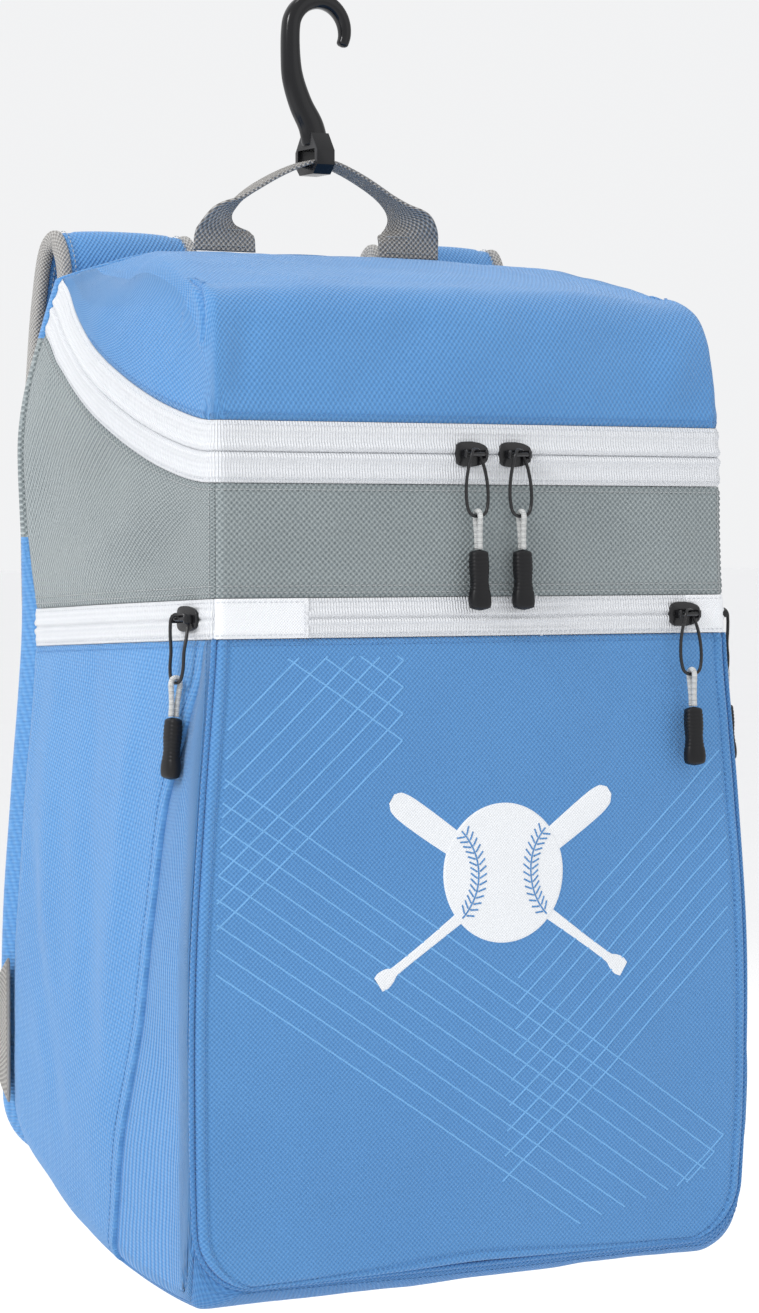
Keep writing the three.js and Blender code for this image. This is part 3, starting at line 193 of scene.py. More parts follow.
def lid_height(x, y):
    base = zip_mid_y(y) + zip_half_y(y)
    half = half_at(base) + side_bulge(y, base)
    flat = half_at(base) - R_EDGE
    front = front_at(base) - crown_at(base) * np.maximum(1 - (x / flat) ** 2, 0)
    ahead = np.maximum(HINGE_Y - y, 0) / (HINGE_Y - front - LID_FR)
    top = BODY_H - (BODY_H - LID_CREST) * ahead ** LID_CREST_POWER - LID_ARCH * (x / half) ** 2
    far = smooth(y, front + LID_FR, HINGE_Y)
    rnd = mix(LID_SR, np.where(x < 0, LID_SL, LID_SRR), far)
    side = 1 - np.clip((half - np.abs(x)) / rnd, 0, 1)
    fore = 1 - np.clip((y - front) / LID_FR, 0, 1)
    rim = np.clip((side ** LID_POW + fore ** LID_POW) ** (1 / LID_POW), 0, 1)
    power = np.where(x < 0, mix(LID_ROUND_POWER, LID_SHOULDER_POWER, far), LID_ROUND_POWER)
    return base + np.maximum(top - base, 0) * np.maximum(1 - rim ** power, 0) ** (1 / power)


def hinge(x):
    y = np.full(np.shape(x), HINGE_Y)
    for _ in range(12):
        y = seam_at(lid_height(x, y))
    return stack(x, y, lid_height(x, y))


RIM = R_EDGE * (1 - math.sqrt(.5)) + GAP / 2


def near_front(y):
    return np.clip((y - FRONT_LINE - RIM) / (REACH - RIM), 0, 1)


def floor_at(y):
    lift = SEAM_H * (1 - near_front(y)) ** 2
    return lift + FLOOR_RISE * table_at(FLOOR, 1, depth_share(y))


def gusset(w, y, side):
    w, y = np.broadcast_arrays(np.asarray(w, float), np.asarray(y, float))
    near = near_front(y)
    radius = mix(mix(CORNER_R, BOX_R[side], near * (2 - near)), BACK_R, np.clip(depth_share(y), 0, 1) ** 1.5)
    floor = floor_at(y)
    cz = floor + radius
    top = PZ_H - PZ_W / 2 - PZ_DROP * np.clip(depth_share(y), 0, 1)
    z1 = mix(top, cz, np.clip(w, 0, 1))
    x1 = half_at(z1) + side_bulge(y, z1) - rim_inset(y - front_at(z1))
    inset = rim_inset(y - FRONT_LINE)
    cx = half_at(cz) + side_bulge(y, cz) - radius
    a = np.clip(w - 1, 0, 1) * np.pi / 2
    x2, z2 = cx + (radius - inset) * np.cos(a), cz - (radius - inset) * np.sin(a)
    x3, z3 = mix(cx, 0, np.clip(w - 2, 0, 1)), floor + inset
    x = np.where(w <= 1, x1, np.where(w <= 2, x2, x3))
    z = np.where(w <= 1, z1, np.where(w <= 2, z2, z3))
    return stack(side * x, y, z)


def front_rim_y(w):
    z = mix(PZ_H - PZ_W / 2, SEAM_H + CORNER_R, np.clip(w, 0, 1))
    return front_at(z) + R_EDGE * (1 - math.sqrt(.5))


def pleat_at(w):
    return mix(FRONT_LINE, SEAM_Y, table_at(PLEAT, 1, np.clip(w, 0, 1)))


def corner_seam(y):
    return mix(1.12, 1.5, near_front(y))


# Relief: seeded value noise, long soft folds and seams
def noise(P, size, seed):
    Q = P / size
    i = np.floor(Q).astype(np.int64)
    f = Q - i
    f = f * f * (3 - 2 * f)

    def corner(a, b, c):
        n = ((i[..., 0] + a) * 73856093) ^ ((i[..., 1] + b) * 19349663) ^ ((i[..., 2] + c) * 83492791)
        n = (n ^ (seed * 2654435761)) & 0xffffffff
        n = ((n ^ (n >> 13)) * 1274126177) & 0xffffffff
        n = ((n ^ (n >> 16)) * 2246822519) & 0xffffffff
        return (n / 2 ** 31) - 1
    x0 = [[mix(corner(0, b, c), corner(1, b, c), f[..., 0]) for b in (0, 1)] for c in (0, 1)]
    y0 = [mix(x0[c][0], x0[c][1], f[..., 1]) for c in (0, 1)]
    return mix(y0[0], y0[1], f[..., 2])


def along(P, A, B):
    A, B = np.array(A, float), np.array(B, float)
    t = np.clip(((P - A) @ (B - A)) / ((B - A) @ (B - A)), 0, 1)
    return np.linalg.norm(P - (A + t[..., None] * (B - A)), axis=-1), t


# Soft folds: start, end, breadth, height
FOLDS = [
    ((-128, 44, 534), (-146, -10, 500), 9, -2.0), ((-108, 30, 541), (-128, -30, 512), 12, 1.6),
    ((-100, -100, 500), (-60, -40, 526), 20, 1.4), ((40, -108, 470), (96, -60, 520), 22, 1.2),
    ((-60, -112, 468), (-20, -112, 500), 16, -1.0), ((110, -110, 452), (140, -96, 496), 12, 1.3),
    ((-136, -112, 452), (-128, -100, 498), 8, -1.1), ((-10, 20, 534), (70, 40, 536), 26, 1.2),
    ((-150, 60, 500), (-158, 96, 430), 14, 1.6), ((-158, -20, 418), (-160, 90, 402), 20, -2.2),
    ((-156, -70, 408), (-158, 60, 360), 14, 1.6), ((-155, -92, 398), (-158, -20, 356), 9, -1.2),
    ((156, -20, 418), (158, 90, 402), 20, -2.2), ((155, -70, 408), (158, 60, 360), 14, 1.6),
    ((-120, -112, 405), (-60, -112, 362), 14, 0.9), ((90, -112, 405), (140, -112, 366), 12, 0.9),
    ((-166, 60, 320), (-178, 40, 100), 16, 2.4), ((-162, 10, 318), (-176, -14, 120), 13, -2.0),
    ((-160, -40, 320), (-172, -30, 90), 12, 1.8), ((-176, 70, 220), (-178, 20, 70), 10, -1.6),
    ((166, 60, 320), (178, 40, 100), 16, 2.4), ((162, 10, 318), (176, -14, 120), 13, -2.0),
    ((160, -40, 320), (172, -30, 90), 12, 1.8), ((-150, -112, 60), (-110, -115, 26), 10, -0.9),
    ((-120, -116, 220), (-60, -118, 300), 40, 0.9), ((60, -118, 120), (130, -114, 40), 30, 0.9),
]


def relief(P):
    d = 1.9 * noise(P, 96.0, 3) + 1.1 * noise(P, 41.0, 7) + 0.42 * noise(P, 17.0, 11)
    d += 0.10 * noise(P, 7.0, 13)
    for A, B, r, h in FOLDS:
        dist, t = along(P, A, B)
        d += 1.5 * h * hump(dist, 0, r) * np.sin(np.pi * np.clip(t * .9 + .05, 0, 1)) ** .6
    return d


MIDDLE = np.array([0, 0, 280.0])


def normals(P):
    du, dv = np.gradient(P, axis=0), np.gradient(P, axis=1)
    n = unit(np.cross(du, dv))
    mid = np.median(np.sum(n * (P - MIDDLE), -1))
    return -n if mid < 0 else n


def lengths(P, axis):
    step = np.linalg.norm(np.diff(P, axis=axis), axis=-1)
    return np.concatenate([np.zeros_like(np.take(step, [0], axis)), np.cumsum(step, axis)], axis)


def add_mesh(name, points, faces, uv, material, body, nodes=(), local=True):
    mesh = bpy.data.meshes.new(name)
    co = (points + HANG) / 1000 if local else points
    mesh.from_pydata(co.tolist(), [], faces)
    if uv is not None:
        layer = mesh.uv_layers.new(name="UVMap")
        loops = np.empty(len(mesh.loops), np.int64)
        mesh.loops.foreach_get("vertex_index", loops)
        layer.data.foreach_set("uv", uv[loops].astype(np.float32).ravel())
    mesh.polygons.foreach_set("use_smooth", np.ones(len(mesh.polygons), bool))
    mesh.materials.append(material)
    mesh.update()
    obj = bpy.data.objects.new(name, mesh)
    bpy.context.scene.collection.objects.link(obj)
    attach(obj, body)
    if nodes:
        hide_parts(*nodes)
    return obj


def grid_faces(rows, cols, wrap_rows=False, wrap_cols=False):
    i, j = np.meshgrid(np.arange(rows if wrap_rows else rows - 1),
                       np.arange(cols if wrap_cols else cols - 1), indexing="ij")
    k, m = (i + 1) % rows, (j + 1) % cols
    return stack(i * cols + j, i * cols + m, k * cols + m, k * cols + j).reshape(-1, 4)


def face_out(P, faces, middle=MIDDLE):
    a, b, c, d = (P[faces[:, i]] for i in range(4))
    n = np.cross(c - a, d - b)
    out = np.sum(n * ((a + c) / 2 - middle))
    return faces if out > 0 else faces[:, ::-1]


def cloth(name, P, material, nodes, extra=None, edges=(1, 1, 1, 1), dip=1.1, rough=1.0,
          uv=None, seam=2.4, foot=None):
    """A cloth panel over a grid of places: relief, a drawn-in seam along its edges, and a tucked rim."""
    N = normals(P)
    if foot is not None:
        ease = smooth(np.arange(len(P)), 3, 14)[:, None, None]
        N = unit(mix(foot[None], N, ease))
    a, b = lengths(P, 0), lengths(P, 1)
    far = [a, a[-1] - a, b, b[:, -1:] - b]
    d = rough * relief(P)
    for keep, dist in zip(edges, far):
        if keep:
            d = d * (0.35 + 0.65 * smooth(dist, 0, 14)) - dip * keep * hump(dist, 0, seam)
    if extra is not None:
        d = d + extra(P, far)
    Q = P + N * d[..., None]
    if uv is None:
        uv = stack(np.broadcast_to(b.mean(0), b.shape), np.broadcast_to(a.mean(1)[:, None], a.shape))
    Q = np.pad(Q, ((1, 1), (1, 1), (0, 0)), mode="edge")
    M = np.pad(N, ((1, 1), (1, 1), (0, 0)), mode="edge")
    uv = np.pad(uv, ((1, 1), (1, 1), (0, 0)), mode="edge")
    rim = np.ones(Q.shape[:2], bool)
    rim[1:-1, 1:-1] = False
    Q[rim] -= M[rim] * TUCK
    pts = Q.reshape(-1, 3)
    faces = face_out(pts, grid_faces(*Q.shape[:2]))
    add_mesh(name, pts, faces.tolist(), uv.reshape(-1, 2) / 1000, material, "bag", nodes)
    return P + N * d[..., None], N


# Materials
class Tree:
    def __init__(self, name):
        self.mat = bpy.data.materials.new(name)
        self.mat.use_nodes = True
        self.nt = self.mat.node_tree
        self.bsdf = next(n for n in self.nt.nodes if n.type == "BSDF_PRINCIPLED")

    def node(self, kind, **settings):
        n = self.nt.nodes.new(kind)
        for key, value in settings.items():
            setattr(n, key, value)
        return n

    def put(self, value, socket):
        if isinstance(value, bpy.types.NodeSocket):
            self.nt.links.new(value, socket)
        else:
            socket.default_value = value

    def math(self, op, a, b=0.0, c=0.0):
        n = self.node("ShaderNodeMath", operation=op)
        for i, v in enumerate((a, b, c)):
            self.put(v, n.inputs[i])
        return n.outputs[0]

    def noise(self, vector, scale, detail, rough=0.5):
        n = self.node("ShaderNodeTexNoise")
        self.put(vector, n.inputs["Vector"])
        n.inputs["Scale"].default_value = scale
        n.inputs["Detail"].default_value = detail
        n.inputs["Roughness"].default_value = rough
        return n.outputs["Fac"]

    def mix(self, fac, a, b):
        n = self.node("ShaderNodeMix", data_type="RGBA")
        self.put(fac, n.inputs[0])
        self.put(a, n.inputs[6])
        self.put(b, n.inputs[7])
        return n.outputs[2]

    def bump(self, height, strength, distance):
        n = self.node("ShaderNodeBump")
        n.inputs["Strength"].default_value = strength
        n.inputs["Distance"].default_value = distance
        self.put(height, n.inputs["Height"])
        return n.outputs["Normal"]


def rgba(c):
    return (c[0], c[1], c[2], 1.0)


def linear(c):
    return rgba([(v / 255 / 12.92) if v <= 10 else ((v / 255 + .055) / 1.055) ** 2.4 for v in c])


def woven(name, light, dark, pitch, pitch_v=None, *, contrast, bump, rough=0.85, sheen=0.25, heather=0.25,
          turn=0.0, wear=0.06, kind="plain"):
    """A woven cloth on the mesh's own flat measures: threads, flecks, slow shades and a fine relief."""
    t = Tree(name)
    coord = t.node("ShaderNodeTexCoord")
    uv = coord.outputs["UV"]
    if turn:
        m = t.node("ShaderNodeMapping")
        t.put(uv, m.inputs["Vector"])
        m.inputs["Rotation"].default_value = (0, 0, math.radians(turn))
        uv = m.outputs["Vector"]
    sep = t.node("ShaderNodeSeparateXYZ")
    t.put(uv, sep.inputs[0])
    k = 2 * math.pi * 1000
    su = t.math("SINE", t.math("MULTIPLY", sep.outputs[0], k / pitch))
    sv = t.math("SINE", t.math("MULTIPLY", sep.outputs[1], k / (pitch_v or pitch)))
    if kind == "plain":
        weave = t.math("MULTIPLY", su, sv)
    elif kind == "rib":
        weave = t.math("ADD", t.math("MULTIPLY", su, 0.75), t.math("MULTIPLY", sv, 0.25))
    else:
        weave = t.math("ADD", t.math("MULTIPLY", t.math("MULTIPLY", su, sv), 0.8),
                       t.math("MULTIPLY", t.math("ADD", su, sv), 0.2))
    fleck = t.math("SUBTRACT", t.noise(coord.outputs["UV"], 900.0, 1.0), 0.5)
    slow = t.math("SUBTRACT", t.noise(coord.outputs["Object"], 9.0, 3.0, 0.55), 0.5)
    fac = t.math("MULTIPLY_ADD", weave, contrast * 0.5, 0.5)
    fac = t.math("MULTIPLY_ADD", fleck, heather * 2, fac)
    fac = t.math("MULTIPLY_ADD", slow, wear * 6, fac)
    n = t.node("ShaderNodeClamp")
    t.put(fac, n.inputs[0])
    t.put(t.mix(n.outputs[0], linear(dark), linear(light)), t.bsdf.inputs["Base Color"])
    r = t.math("MULTIPLY_ADD", fleck, 0.12, rough)
    t.put(r, t.bsdf.inputs["Roughness"])
    t.bsdf.inputs["Sheen Weight"].default_value = sheen
    t.bsdf.inputs["Sheen Roughness"].default_value = 0.45
    t.bsdf.inputs["Specular IOR Level"].default_value = 0.28
    height = t.math("MULTIPLY_ADD", fleck, 0.6, weave)
    t.put(t.bump(height, bump, 0.0007), t.bsdf.inputs["Normal"])
    return t.mat


def moulded(name, colour, rough, grain, bump, spec, edge_highlight=None):
    """Moulded plastic, rubber or painted metal: fine grain, uneven gloss and a painted highlight that makes
    convex edges paler.
    """
    t = Tree(name)
    coord = t.node("ShaderNodeTexCoord")
    fine = t.noise(coord.outputs["Object"], grain, 3.0)
    slow = t.noise(coord.outputs["Object"], 45.0, 2.0)
    # Convex edges (Pointiness) are mixed towards a paler colour, unevenly along the edge: a painted edge
    # highlight, not wear.
    geo = t.node("ShaderNodeNewGeometry")
    edge = t.math("MULTIPLY", t.math("SUBTRACT", geo.outputs["Pointiness"], 0.515), 9.0)
    n = t.node("ShaderNodeClamp")
    t.put(t.math("MULTIPLY", edge, slow), n.inputs[0])
    edge_highlight = edge_highlight or tuple(min(1, 2.6 * c + .02) for c in colour)
    base = t.mix(slow, rgba(colour), rgba(tuple(c * 1.35 for c in colour)))
    t.put(t.mix(n.outputs[0], base, rgba(edge_highlight)), t.bsdf.inputs["Base Color"])
    t.put(t.math("MULTIPLY_ADD", t.math("SUBTRACT", slow, 0.5), 0.18, rough), t.bsdf.inputs["Roughness"])
    t.bsdf.inputs["Specular IOR Level"].default_value = spec
    t.put(t.bump(fine, bump, 0.00015), t.bsdf.inputs["Normal"])
    return t.mat


m_front = woven("cloth_front", (104, 160, 214), (68, 124, 184), 2.6, contrast=0.75, bump=0.6)
m_lid = woven("cloth_lid", (104, 160, 214), (70, 126, 186), 2.6, contrast=0.7, bump=0.6)
m_pocket = woven("cloth_pocket", (106, 162, 216), (70, 126, 186), 2.8, contrast=0.7, bump=0.6,
                 turn=38, kind="twill")
m_gusset = woven("cloth_gusset", (108, 164, 218), (66, 122, 184), 2.9, 1.9, contrast=0.8,
                 bump=0.7, kind="rib", turn=90)
m_bottom = woven("cloth_bottom", (92, 148, 204), (62, 116, 176), 2.6, contrast=0.7, bump=0.6)
m_yoke = woven("cloth_yoke", (172, 181, 182), (102, 112, 116), 3.1, contrast=0.85, bump=0.8,
               heather=0.35, rough=0.88)
m_tape = woven("zip_tape", (247, 248, 250), (222, 226, 232), 1.6, 2.6, contrast=0.6, bump=0.8,
               kind="rib", heather=0.10, rough=0.6, sheen=0.1, wear=0.03)
m_tab = woven("zip_tab", (247, 248, 250), (230, 233, 238), 1.6, contrast=0.4, bump=0.4,
              heather=0.10, rough=0.65, sheen=0.1, wear=0.03)
m_web = woven("webbing", (200, 197, 192), (96, 92, 90), 3.0, contrast=0.95, bump=1.0,
              heather=0.22, rough=0.9)
m_bind = woven("binding", (204, 202, 198), (120, 117, 115), 2.4, contrast=0.8, bump=0.8,
               heather=0.2, rough=0.9)
m_strap = woven("strap_cloth", (106, 162, 216), (72, 128, 188), 2.6, contrast=0.7, bump=0.6)
m_mesh = woven("air_mesh", (86, 142, 200), (40, 84, 138), 2.6, contrast=0.95, bump=1.0,
               heather=0.2, kind="twill", rough=0.9)
m_print = woven("print_white", (244, 245, 246), (222, 226, 231), 1.7, contrast=0.45, bump=0.35,
                heather=0.2, sheen=0.05, rough=0.6, wear=0.04)
m_line = woven("print_line", (124, 180, 228), (102, 160, 214), 2.6, contrast=0.4, bump=0.3,
               sheen=0.05, rough=0.55)
m_thread_b = woven("thread_blue", (96, 154, 212), (70, 124, 182), 0.6, contrast=0.7, bump=0.4)
m_thread_g = woven("thread_grey", (196, 200, 202), (140, 146, 148), 0.6, contrast=0.7, bump=0.4)
m_thread_w = woven("thread_white", (240, 242, 245), (200, 205, 212), 0.6, contrast=0.7, bump=0.4)
m_cord = woven("pull_cord", (243, 244, 242), (196, 198, 198), 1.1, contrast=0.85, bump=0.9,
               heather=0.1, turn=30, rough=0.75)
m_hook = moulded("hook_plastic", (0.004, 0.004, 0.005), rough=0.2, grain=260, bump=0.05, spec=.35)
# The paler grey given for the slider edges is a painted edge highlight.
m_metal = moulded("slider_metal", (0.006, 0.006, 0.007), rough=0.25, grain=900, bump=0.12, spec=.4,
                  edge_highlight=(.05, .05, .052))
m_rubber = moulded("grip_rubber", (0.006, 0.006, 0.007), rough=0.42, grain=1400, bump=0.3, spec=.25)

# Columns of the skin, from the back left round the front to the back right
U_SIDE = np.linspace(0, 1, 105)
U_EDGE = np.linspace(1, 2, 17)[1:-1]
U_FRONT = np.linspace(2, 3, 175)
EDGE_CUT = GAP / 2 / R_EDGE
U_ALL = np.concatenate([U_SIDE, U_EDGE, U_FRONT, 5 - U_EDGE[::-1], 5 - U_SIDE[::-1]])
U_LEFT = np.concatenate([U_SIDE, np.linspace(1, 1.5 - EDGE_CUT, 9)[1:]])
U_RIGHT = 5 - U_LEFT[::-1]
U_MID = np.concatenate([np.linspace(1.5 + EDGE_CUT, 2, 9)[:-1], U_FRONT,
                        np.linspace(3, 3.5 - EDGE_CUT, 9)[1:]])


def strip(us, low, high, rows):
    v = np.linspace(0, 1, rows)[:, None]
    z = mix(low(us)[None], high(us)[None], v)
    return skin(np.broadcast_to(us[None], z.shape), z)


def bead(near):
    """The covered coil along a tape's inner edge: a rounded ridge with a fine slit."""
    def shape(P, far):
        dist = far[1] if near == "top" else far[0]
        ridge = 1.15 * hump(dist, 2.6, 2.0) - 0.9 * hump(dist, 0, 0.55)
        edge = far[0] if near == "top" else far[1]
        return ridge - 0.7 * hump(edge, 0, 1.4) + 0.55 * hump(edge, 4.2, 1.5)
    return shape


low_tape = strip(U_ALL, zip_low, lambda u: zip_mid(u) - 0.05, 22)
top_tape = strip(U_ALL, lambda u: zip_mid(u) + 0.05, zip_top, 22)
LT, LTN = cloth("zip_lower_tape", low_tape, m_tape, ["main_zipper_lower_tape"],
                bead("top"), edges=(0, 0, .4, .4), rough=0.5)
TT, TTN = cloth("zip_upper_tape", top_tape, m_tape, ["main_zipper_upper_tape"],
                bead("low"), edges=(0, 0, .4, .4), rough=0.5)

yokes = {}
for word, us in (("left", U_LEFT), ("front", U_MID), ("right", U_RIGHT)):
    P = strip(us, lambda u: pocket_mid(u) + PZ_W / 2 + GAP, lambda u: zip_low(u) - GAP, 60)
    yokes[word] = cloth(f"yoke_{word}_cloth", P, m_yoke, [f"yoke_{word}"], dip=1.0)

# Pocket zippers
FLAT = float(half_at(PZ_H)) - R_EDGE
TAB_L, TAB_R = 2 + TAB_LEFT / (2 * FLAT), 3 - TAB_RIGHT / (2 * FLAT)


def pocket_strip(us):
    return strip(us, lambda u: pocket_mid(u) - PZ_W / 2, lambda u: pocket_mid(u) + PZ_W / 2, 30)


def pocket_bead(P, far):
    d = np.abs(far[0] - far[1]) / 2
    edge = np.minimum(far[0], far[1])
    ridge = 1.1 * hump(d, 2.2, 1.7) - 0.9 * hump(d, 0, 0.6)
    return ridge + 0.4 * hump(edge, 3.4, 1.3)


def tab_relief(P, far):
    edge = np.minimum(far[0], far[1])
    return 0.9 + 0.3 * hump(edge, 3.0, 1.2)


us = U_MID[(U_MID > TAB_L) & (U_MID < TAB_R)]
PZ, PZN = cloth("pocket_zip_tape", pocket_strip(np.r_[TAB_L - .004, us, TAB_R + .004]), m_tape,
                ["front_pocket_zipper"], pocket_bead, edges=(.5, .5, 0, 0), rough=0.5)
TAB1, TAB1N = cloth("pocket_tab_left", pocket_strip(np.r_[U_MID[U_MID < TAB_L], TAB_L]), m_tab,
                    ["left_stop_tab"], tab_relief, edges=(.5, .5, .6, .3), rough=0.5)
TAB2, TAB2N = cloth("pocket_tab_right", pocket_strip(np.r_[TAB_R, U_MID[U_MID > TAB_R]]), m_tab,
                    ["right_stop_tab"], tab_relief, edges=(.5, .5, .3, .6), rough=0.5)
sides_zip = {}
for word, us in (("left", U_LEFT), ("right", U_RIGHT)):
    sides_zip[word] = cloth(f"side_zip_tape_{word}", pocket_strip(us), m_tape,
                            [f"{word}_side_zipper"], pocket_bead, edges=(.5, .5, .4, .4), rough=0.5)

# Lid, with a dart at each front corner
outer = float(-skin(0.0, zip_top(0.0))[0]) - 8.0
inner = float(half_at(BODY_H)) * 0.8
across = np.where(U_ALL < 2, -mix(outer, inner, U_ALL / 2),
                  np.where(U_ALL > 3, mix(inner, outer, (U_ALL - 3) / 2), mix(-inner, inner, U_ALL - 2)))
start = skin(U_ALL, zip_top(U_ALL) + GAP)
end = hinge(across)
span = np.hypot(end[:, 0] - start[:, 0], end[:, 1] - start[:, 1])
shared = np.minimum(LID_FR / span, 0.55)
rim_t = np.linspace(0, 1, 46) ** 1.8
T = np.concatenate([rim_t[:, None] * shared, mix(shared, 1, np.linspace(0, 1, 62)[1:, None])])
X, Y = mix(start[:, 0], end[:, 0], T), mix(start[:, 1], end[:, 1], T)
Z = np.maximum(lid_height(X, Y), start[:, 2])
LID = stack(X, Y, Z)
LID[0] = start


def dart_line(sign):
    s = np.linspace(0, 1, 40)
    x = sign * mix(half_at(450.0) - 2.0, 139.0, s ** 0.8)
    y = mix(-92.0, -58.0, s ** 1.3)
    return stack(x, y, np.maximum(lid_height(x, y), 443.5))


DARTS = {-1: dart_line(-1), 1: dart_line(1)}


def lid_extra(P, far):
    d = np.zeros(P.shape[:2])
    for line in DARTS.values():
        near = np.linalg.norm(P[:, :, None] - line[None, None], axis=-1).min(-1)
        d += (-1.5 * hump(near, 0, 1.1) + 0.9 * hump(near, 3.0, 2.0))
    d += 1.6 * hump(P[..., 2], 505, 14) * (P[..., 1] < -70)
    return d


LIDQ, LIDN = cloth("lid_cloth", LID, m_lid, ["lid_panel"], lid_extra,
                   edges=(1, .6, .6, .6), dip=1.3, rough=1.25, foot=TTN[-1])

# Front panel
inset = R_EDGE * (1 - math.sqrt(.5))
rad = CORNER_R - inset
low_z, high_z = SEAM_H + inset, PZ_H - PZ_W / 2 - GAP
zs = np.concatenate([low_z + rad * np.linspace(0, 1, 46) ** 1.6, np.linspace(low_z + rad, high_z, 160)[1:]])


def front_surface(x, z):
    half = half_at(z)
    flat = half - R_EDGE
    ox, oz = np.abs(x) - (half - CORNER_R), SEAM_H + CORNER_R - z
    edge = np.minimum(half - np.abs(x), z - SEAM_H)
    edge = np.where((ox > 0) & (oz > 0), CORNER_R - np.hypot(ox, oz), edge)
    crown = crown_at(z) * np.maximum(1 - (x / flat) ** 2, 0)
    return stack(x, front_at(z) - crown + rim_inset(edge), z)


under = np.clip((low_z + rad - zs) / rad, 0, 1)
halves = half_at(zs) - inset - rad * (1 - np.sqrt(np.maximum(1 - under ** 2, 0))) - GAP / 2
c = np.linspace(-1, 1, 190)
c = np.sign(c) * (1 - (1 - np.abs(c)) ** 1.25)
XX = halves[:, None] * c[None]
ZZ = np.broadcast_to(zs[:, None], XX.shape)
FP = front_surface(XX, ZZ)


def front_extra(P, far):
    edge = np.minimum(np.minimum(far[2], far[3]), far[0])
    return 0.7 * hump(edge, 4.5, 2.2) - 0.5 * hump(edge, 8.0, 1.0)


uv = stack(XX + 170, ZZ)
FQ, FN = cloth("front_cloth", FP, m_front, ["front_panel"], front_extra, dip=1.6, rough=0.7,
               uv=uv, seam=2.0)

# Side cloth: ribbed gusset in front of the pleat, pocket behind it
drops = np.concatenate([np.linspace(0, 0.72, 96), np.linspace(0.72, 1, 60)[1:]])
side_grids = {}
for word, side in (("left", -1), ("right", 1)):
    top_gap = GAP / 300
    for part in ("gusset", "pocket"):
        s = np.linspace(0, 1, 56 if part == "gusset" else 92)[:, None]
        w = np.broadcast_to(mix(top_gap, 1.0, drops)[None], (len(s), len(drops))).copy()
        for _ in range(2):
            if part == "gusset":
                y0, y1 = front_rim_y(w) + GAP / 2, pleat_at(w) - 0.1
            else:
                y0, y1 = pleat_at(w) + 0.1, SEAM_Y + 0 * w
            yy = mix(y0, y1, s)
            w = top_gap + (corner_seam(yy) - 0.004 - top_gap) * drops[None]
        P = gusset(w, yy, side)
        if part == "gusset":
            def extra(P, far):
                fold = smooth(far[2], 8, 60)
                return -1.2 * hump(far[1], 0, 9.0) * fold
            args = (m_gusset, [f"side_gusset_{word}"], (1, .2, .7, 1))
        else:
            def extra(P, far):
                fold = smooth(far[2], 8, 60)
                return (.8 * hump(far[0], 0, 6.5) - 0.5 * hump(far[0], 6.5, .8)) * fold
            args = (m_pocket, [f"side_pocket_{word}"], (.1, .6, .7, 1))
        side_grids[word, part] = cloth(f"side_{part}_{word}_cloth", P, args[0], args[1], extra,
                                       edges=args[2], rough=1.0)

# Bottom
y_start = float(front_rim_y(1.0)) + GAP / 2
ys = np.concatenate([y_start + 13 * np.linspace(0, 1, 26) ** 1.4, np.linspace(y_start + 13, SEAM_Y, 96)[1:]])
edge_w = corner_seam(ys) + 0.004
cw = np.concatenate([np.linspace(0, 1, 22) * 0.5, np.linspace(0.5, 1, 50)[1:]])
wl = np.where(cw[None] < .5, mix(edge_w[:, None], 2, cw[None] * 2), mix(2, 3, cw[None] * 2 - 1))
BL = gusset(wl, ys[:, None], -1)
BR = gusset(wl, ys[:, None], 1)
BP = np.concatenate([BL, BR[:, -2::-1]], axis=1)
BQ, BN = cloth("bottom_cloth", BP, m_bottom, ["bottom_panel"], None, edges=(1, .6, .6, .6),
               rough=0.7)


# Back pad
def back_outline():
    def low_seam(side, *runs):
        return [gusset(w, SEAM_Y, side) for w in np.concatenate(runs)]

    heights = np.linspace(float(zip_top(0.0)), 326.0, 60)
    left = [skin(0.0, z) for z in heights]
    low = low_seam(-1, np.linspace(.03, 2, 90), np.linspace(2, 3, 24)[1:])
    right = [p * np.array([-1, 1, 1]) for p in left]
    low_r = low_seam(1, np.linspace(3, 2, 24)[1:], np.linspace(2, .03, 90)[1:])
    x = np.linspace(outer + 8, -outer - 8, 150)[1:-1]
    return np.array(left + low + low_r + right[::-1] + list(hinge(x)))


OUT = back_outline()
closed = np.concatenate([OUT, OUT[:1]])
s = np.r_[0, np.cumsum(np.linalg.norm(np.diff(closed, axis=0), axis=1))]
even = np.linspace(0, s[-1], 421)[:-1]
OUT = np.stack([np.interp(even, s, closed[:, i]) for i in range(3)], -1)
before, after = np.roll(OUT, 1, 0), np.roll(OUT, -1, 0)
inward = stack(before[:, 2] - after[:, 2], 0 * after[:, 2], after[:, 0] - before[:, 0])
inward /= np.linalg.norm(inward, axis=1, keepdims=True)
for _ in range(6):
    inward = inward + np.roll(inward, 1, 0) + np.roll(inward, -1, 0)
    inward /= np.linalg.norm(inward, axis=1, keepdims=True)
rings = [OUT + inward * 6 + [0, .3, 0]]
face = OUT[:, 1] + .3
thick = back_at(OUT[:, 2]) - face
rnd = np.minimum(PAD_ROUND, thick * 0.85)
for a in np.radians(np.linspace(0, 90, 14)):
    R = OUT + inward * (rnd * (1 - np.cos(a)))[:, None] - inward * (1.2 * np.sin(2 * a))
    R[:, 1] = face + thick - rnd * (1 - np.sin(a))
    rings.append(R)
last = rings[-1]
for t in np.linspace(0, 1, 60)[1:]:
    z = last[:, 2]
    R = last.copy()
    R[:, 0] = mix(last[:, 0], 0, t)
    R[:, 2] = mix(z, mix(np.clip(z, .3 * BODY_H, .75 * BODY_H), 270, .6), t)
    R[:, 1] = back_at(R[:, 2]) + PAD_PUFF * math.sin(math.pi / 2 * min(1, 2 * t))
    rings.append(R)
BK = np.array(rings)
x, z = BK[..., 0], BK[..., 2]
inside = smooth(np.arange(len(rings)), 15, 26)[:, None]
channel = np.zeros(x.shape)
